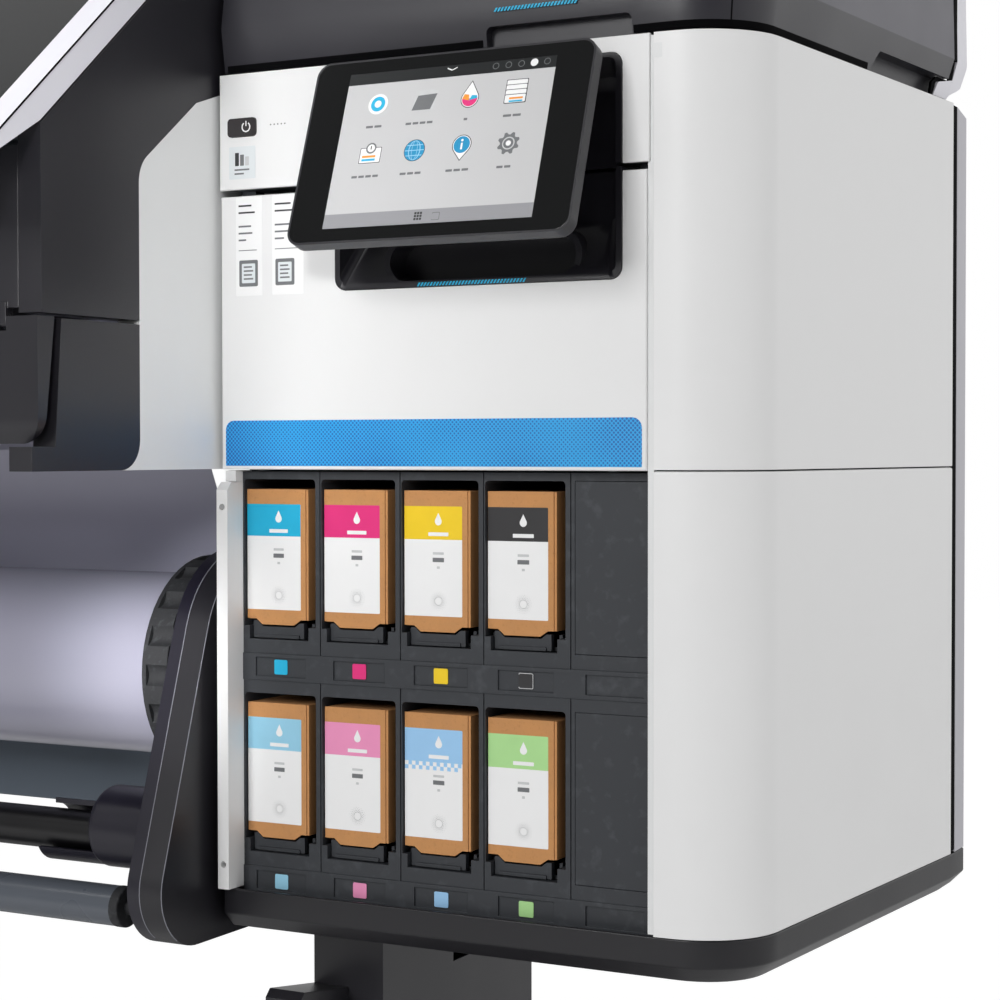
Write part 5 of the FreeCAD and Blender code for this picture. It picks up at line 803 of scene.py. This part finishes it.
def label(piece, index, x0, down, where):
    """Printed label: coloured head with a teardrop, bars for words, a dotted seal and, on one, a check."""
    right = x0 + LABEL_W
    bottom, bar, top = (z + down for z in LABEL_Z)
    piece.solid(rect(x0 + 0.1, bottom, right, bar, (0, 0.8, 0, 0)), where, 0.12, PAPER, 0.1)
    piece.solid(rect(x0 + 0.1, bar, right, top, (0, 0, 0.8, 0)), where, 0.12, INKS[index], 0.1)
    u = x0 + 29.0
    piece.solid(drop(u, bar + 13.4, 2.9, 6.4), where, 0.2, PAPER)
    piece.solid(rect(u - 8.5, bar + 2.6, u + 8.5, bar + 5.4, 0.4), where, 0.2, PAPER)
    for below, half, half_h, tone in ((10.2, 4.6, 0.9, INK_PALE), (15.0, 4.8, 1.6, INK_GREY),
                                      (20.6, 1.2, 0.9, INK_PALE)):
        v = bar - below
        piece.solid(rect(u - half, v - half_h, u + half, v + half_h, 0.3), where, 0.2, tone)
    for ring in range(4):
        r = 3.2 + 1.15 * ring
        for k in range(SEAL_DOTS):
            a = math.tau * (k + 0.5 * (ring % 2)) / SEAL_DOTS
            dot = disc(u + r * math.cos(a), bottom + 11.3 + r * math.sin(a), 0.36 - 0.05 * ring, 5)
            piece.solid(dot, where, 0.18, INK_GREY)
    if index == CHECKED:
        for k in range(16):
            u0 = x0 + 0.2 + CHECK * k
            line = 1 - k % 2
            square = rect(u0, bar - CHECK * (line + 1), u0 + CHECK, bar - CHECK * line)
            piece.solid(square, where, 0.18, INKS[index])


def carton(index):
    """Ink carton in its tray: folded board with a front flap, a tab in the tray's lip, and a label."""
    column, row = index % COLUMNS, index // COLUMNS
    node = "ink_box_%d" % (index + 1)
    low, high = span(node)
    down = -ROW_DROP * row
    x0, y0, z0 = low.x, low.y, CARTON_LOW + down
    x1, y1, z1 = FIRST_X + PITCH * column + CARTON_W, high.y, high.z
    piece = Piece("ink_carton_%d" % (index + 1))
    body = rect(x0 + 0.4, z0, x1 - 0.5, z1 - 0.5, 0.6)
    piece.solid(body, front(y0 + BOARD + 0.3), 0.0, KRAFT, y1 - y0 - BOARD - 1.0)
    flap = [(x0, z0 + 0.5), (x0 + 8.0, z0 + 0.5), (x0 + 13.6, z0 - 4.0), (x0 + 42.4, z0 - 4.0),
            (x0 + 48.6, z0 + 0.2), (x1 - 2.2, z0 + 0.2), (x1 - 2.2, z1), (x0, z1)]
    piece.solid(flap, front(y0), 0.0, KRAFT, BOARD)
    piece.solid(rect(x1 - 1.9, z0 + 0.5, x1, z1 - 0.3), front(y0 + 0.5), 0.0, KRAFT, 40.0)
    # Painted shade: a dark strip behind the gap between the front flap and the side sheet.
    piece.solid(rect(x1 - 2.3, z0 + 0.6, x1 - 1.8, z1 - 0.6), front(y0 + 1.2), 0.0, KRAFT_GAP_SHADE, 3.0)
    lid = face((0, 0, z1 - 0.5), (1, 0, 0), (0, 1, 0))
    piece.solid(rect(x0 + 1.0, y0 + 2.5, x1 - 1.0, y1 - 3.0), lid, 0.4, KRAFT, 0.2)
    label(piece, index, x0, down, front(y0))
    t0 = TRAY_LOW + down
    lip = [(x0 + 4.6, t0 + 0.5), (x0 + 50.8, t0 + 0.5), (x0 + 50.8, t0 + 12.4), (x0 + 46.6, t0 + 12.4),
           (x0 + 42.6, t0 + 9.2), (x0 + 13.0, t0 + 9.2), (x0 + 8.2, t0 + 13.6), (x0 + 4.6, t0 + 13.6)]
    piece.solid(lip, front(y0 + BOARD + 0.2), 0.0, RACK, 5.0)
    piece.solid(rect(x0 + 8.6, t0 + 0.5, x0 + 47.0, t0 + 3.2, 0.6), front(y0 + 0.4), 0.0, RACK, 4.0)
    piece.block(low.x + 1.0, high.x - 1.0, y0 + 7.0, y1, t0, t0 + 3.0, RACK)
    for u in (low.x + 0.5, high.x - 3.0):
        piece.block(u, u + 2.5, y0 + 7.0, y1, t0, t0 + 12.0, RACK)
    obj = piece.finish("ink_%d" % (index + 1), "kraft_board", bevel=0.25)
    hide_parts(node)


for index in range(2 * COLUMNS):
    carton(index)

# ================================================================ column chips
STRIP_FACE = front(span("cartridge_rack")[0].y)
CHIP_LEFT, CHIP_LOW = -422.4, 165.3
CHIP_DROP = 165.3
CHIP_W, CHIP_H = 11.9, 11.4
CHIP_LINE = 0.5
BLACK_INK = INKS[3]
chips = Piece("column_chips")
for index, ink in enumerate(INKS):
    left = CHIP_LEFT + PITCH * (index % COLUMNS)
    low = CHIP_LOW - CHIP_DROP * (index // COLUMNS)
    right, high = left + CHIP_W, low + CHIP_H
    edge = rect(left, low, right, high, 1.2)
    chips.solid(edge, STRIP_FACE, 0.2, ink, 0.2)
    if ink is BLACK_INK:
        inner = rect(left + CHIP_LINE, low + CHIP_LINE, right - CHIP_LINE, high - CHIP_LINE, 0.8)
        chips.band(edge, inner, STRIP_FACE, 0.24, INK_PALE)
chips.finish("frame", "rack_plastic")

# ================================================================ stage, light and camera
FLOOR_HALF = 12.0


def stage_plane(name, size, mat):
    mesh = bpy.data.meshes.new(name)
    around = [(-size, -size, 0), (size, -size, 0), (size, size, 0), (-size, size, 0)]
    mesh.from_pydata(around, [], [(0, 1, 2, 3)])
    mesh.materials.append(mat)
    obj = bpy.data.objects.new(name, mesh)
    bpy.context.scene.collection.objects.link(obj)
    return obj


def shown_or_lit(tree, lit, shown):
    """Mixes two shaders: one that the camera sees, also through glass, and one for every other ray."""
    rays = node_of(tree, "LightPath")
    seen = node_of(tree, "Math", operation="MAXIMUM")
    tree.links.new(rays.outputs["Is Camera Ray"], seen.inputs[0])
    tree.links.new(rays.outputs["Is Transmission Ray"], seen.inputs[1])
    choose = node_of(tree, "MixShader")
    for socket, output in zip(choose.inputs, (seen.outputs[0], lit.outputs[0], shown.outputs[0])):
        tree.links.new(output, socket)
    return choose.outputs[0]


def floor_material():
    """Pale floor: lit normally for every other ray, and lifted towards white for the camera."""
    mat = bpy.data.materials.new("studio_floor")
    mat.use_nodes = True
    tree = mat.node_tree
    tree.nodes.clear()
    plain = node_of(tree, "BsdfDiffuse", Color=(0.75, 0.75, 0.75, 1))
    half = node_of(tree, "BsdfDiffuse", Color=(0.40, 0.40, 0.40, 1))
    glow = node_of(tree, "Emission", Strength=0.72)
    both = node_of(tree, "AddShader")
    tree.links.new(half.outputs[0], both.inputs[0])
    tree.links.new(glow.outputs[0], both.inputs[1])
    tree.links.new(shown_or_lit(tree, plain, both), node_of(tree, "OutputMaterial").inputs["Surface"])
    return mat


stage_plane("floor", FLOOR_HALF, floor_material())

# The sky is bright behind the part and to its right, and dim on the other side.
BRIGHT_SIDE = (0.45, 0.82, 0.35)
world = bpy.data.worlds.new("studio")
bpy.context.scene.world = world
world.use_nodes = True
tree = world.node_tree
tree.nodes.clear()
direction = node_of(tree, "TexCoord").outputs["Generated"]
along = node_of(tree, "VectorMath", operation="DOT_PRODUCT")
tree.links.new(direction, along.inputs[0])
along.inputs[1].default_value = Vector(BRIGHT_SIDE).normalized()
level = ramp(tree, along.outputs["Value"], -0.30, 0.6, to_low=0.20, to_high=1.08)
light = node_of(tree, "Background")
tree.links.new(level, light.inputs["Strength"])
white = node_of(tree, "Background", Strength=1.0)
for background in (light, white):
    background.inputs["Color"].default_value = (1, 1, 1, 1)
tree.links.new(shown_or_lit(tree, light, white), node_of(tree, "OutputWorld").inputs["Surface"])


def add_lamp(name, kind, at, aim, power, **settings):
    """Lamp at a place of the row frame, turned towards another."""
    lamp = bpy.data.lights.new(name, kind)
    lamp.energy = power
    for key, value in settings.items():
        setattr(lamp, key, value)
    obj = bpy.data.objects.new(name, lamp)
    bpy.context.scene.collection.objects.link(obj)
    obj.location = at
    obj.rotation_euler = (Vector(aim) - Vector(at)).to_track_quat("-Z", "Y").to_euler()


def area_light(name, at, aim, power, width, height):
    add_lamp(name, "AREA", at, aim, power, shape="RECTANGLE", size=width, size_y=height)


def spot_light(name, at, aim, power, cone, soft):
    """Round soft-edged beam; the cone is its full angle in degrees."""
    add_lamp(name, "SPOT", at, aim, power, spot_size=math.radians(cone), spot_blend=1.0,
             shadow_soft_size=soft)


AIM = place(-250, 0, 350)
area_light("key", (0.10, -4.3, 2.7), AIM, 98.0, 1.3, 1.8)
area_light("glint", (-0.90, -1.42, 2.95), AIM, 5.0, 0.4, 0.6)
spot_light("end_fill", place(300, -1800, 900), place(-505, -60, 500), 165.0, 14.0, 0.25)
spot_light("roll_fill", place(-150, -1700, 420), place(-538, 10, 165), 150.0, 6.5, 0.05)

camera = bpy.data.objects.new("camera", bpy.data.cameras.new("camera"))
bpy.context.scene.collection.objects.link(camera)
camera.data.lens = 76.47
camera.data.sensor_width = 36.0
camera.location = place(491.2, -1344.1, 338.0)
LOOK_DOWN, LEAN, TURN = (math.radians(angle) for angle in (1.37, 0.06, 27.83))
camera.rotation_euler = (math.pi / 2 - LOOK_DOWN, LEAN, TURN)
bpy.context.scene.camera = camera
bpy.context.scene.view_settings.view_transform = "Standard"
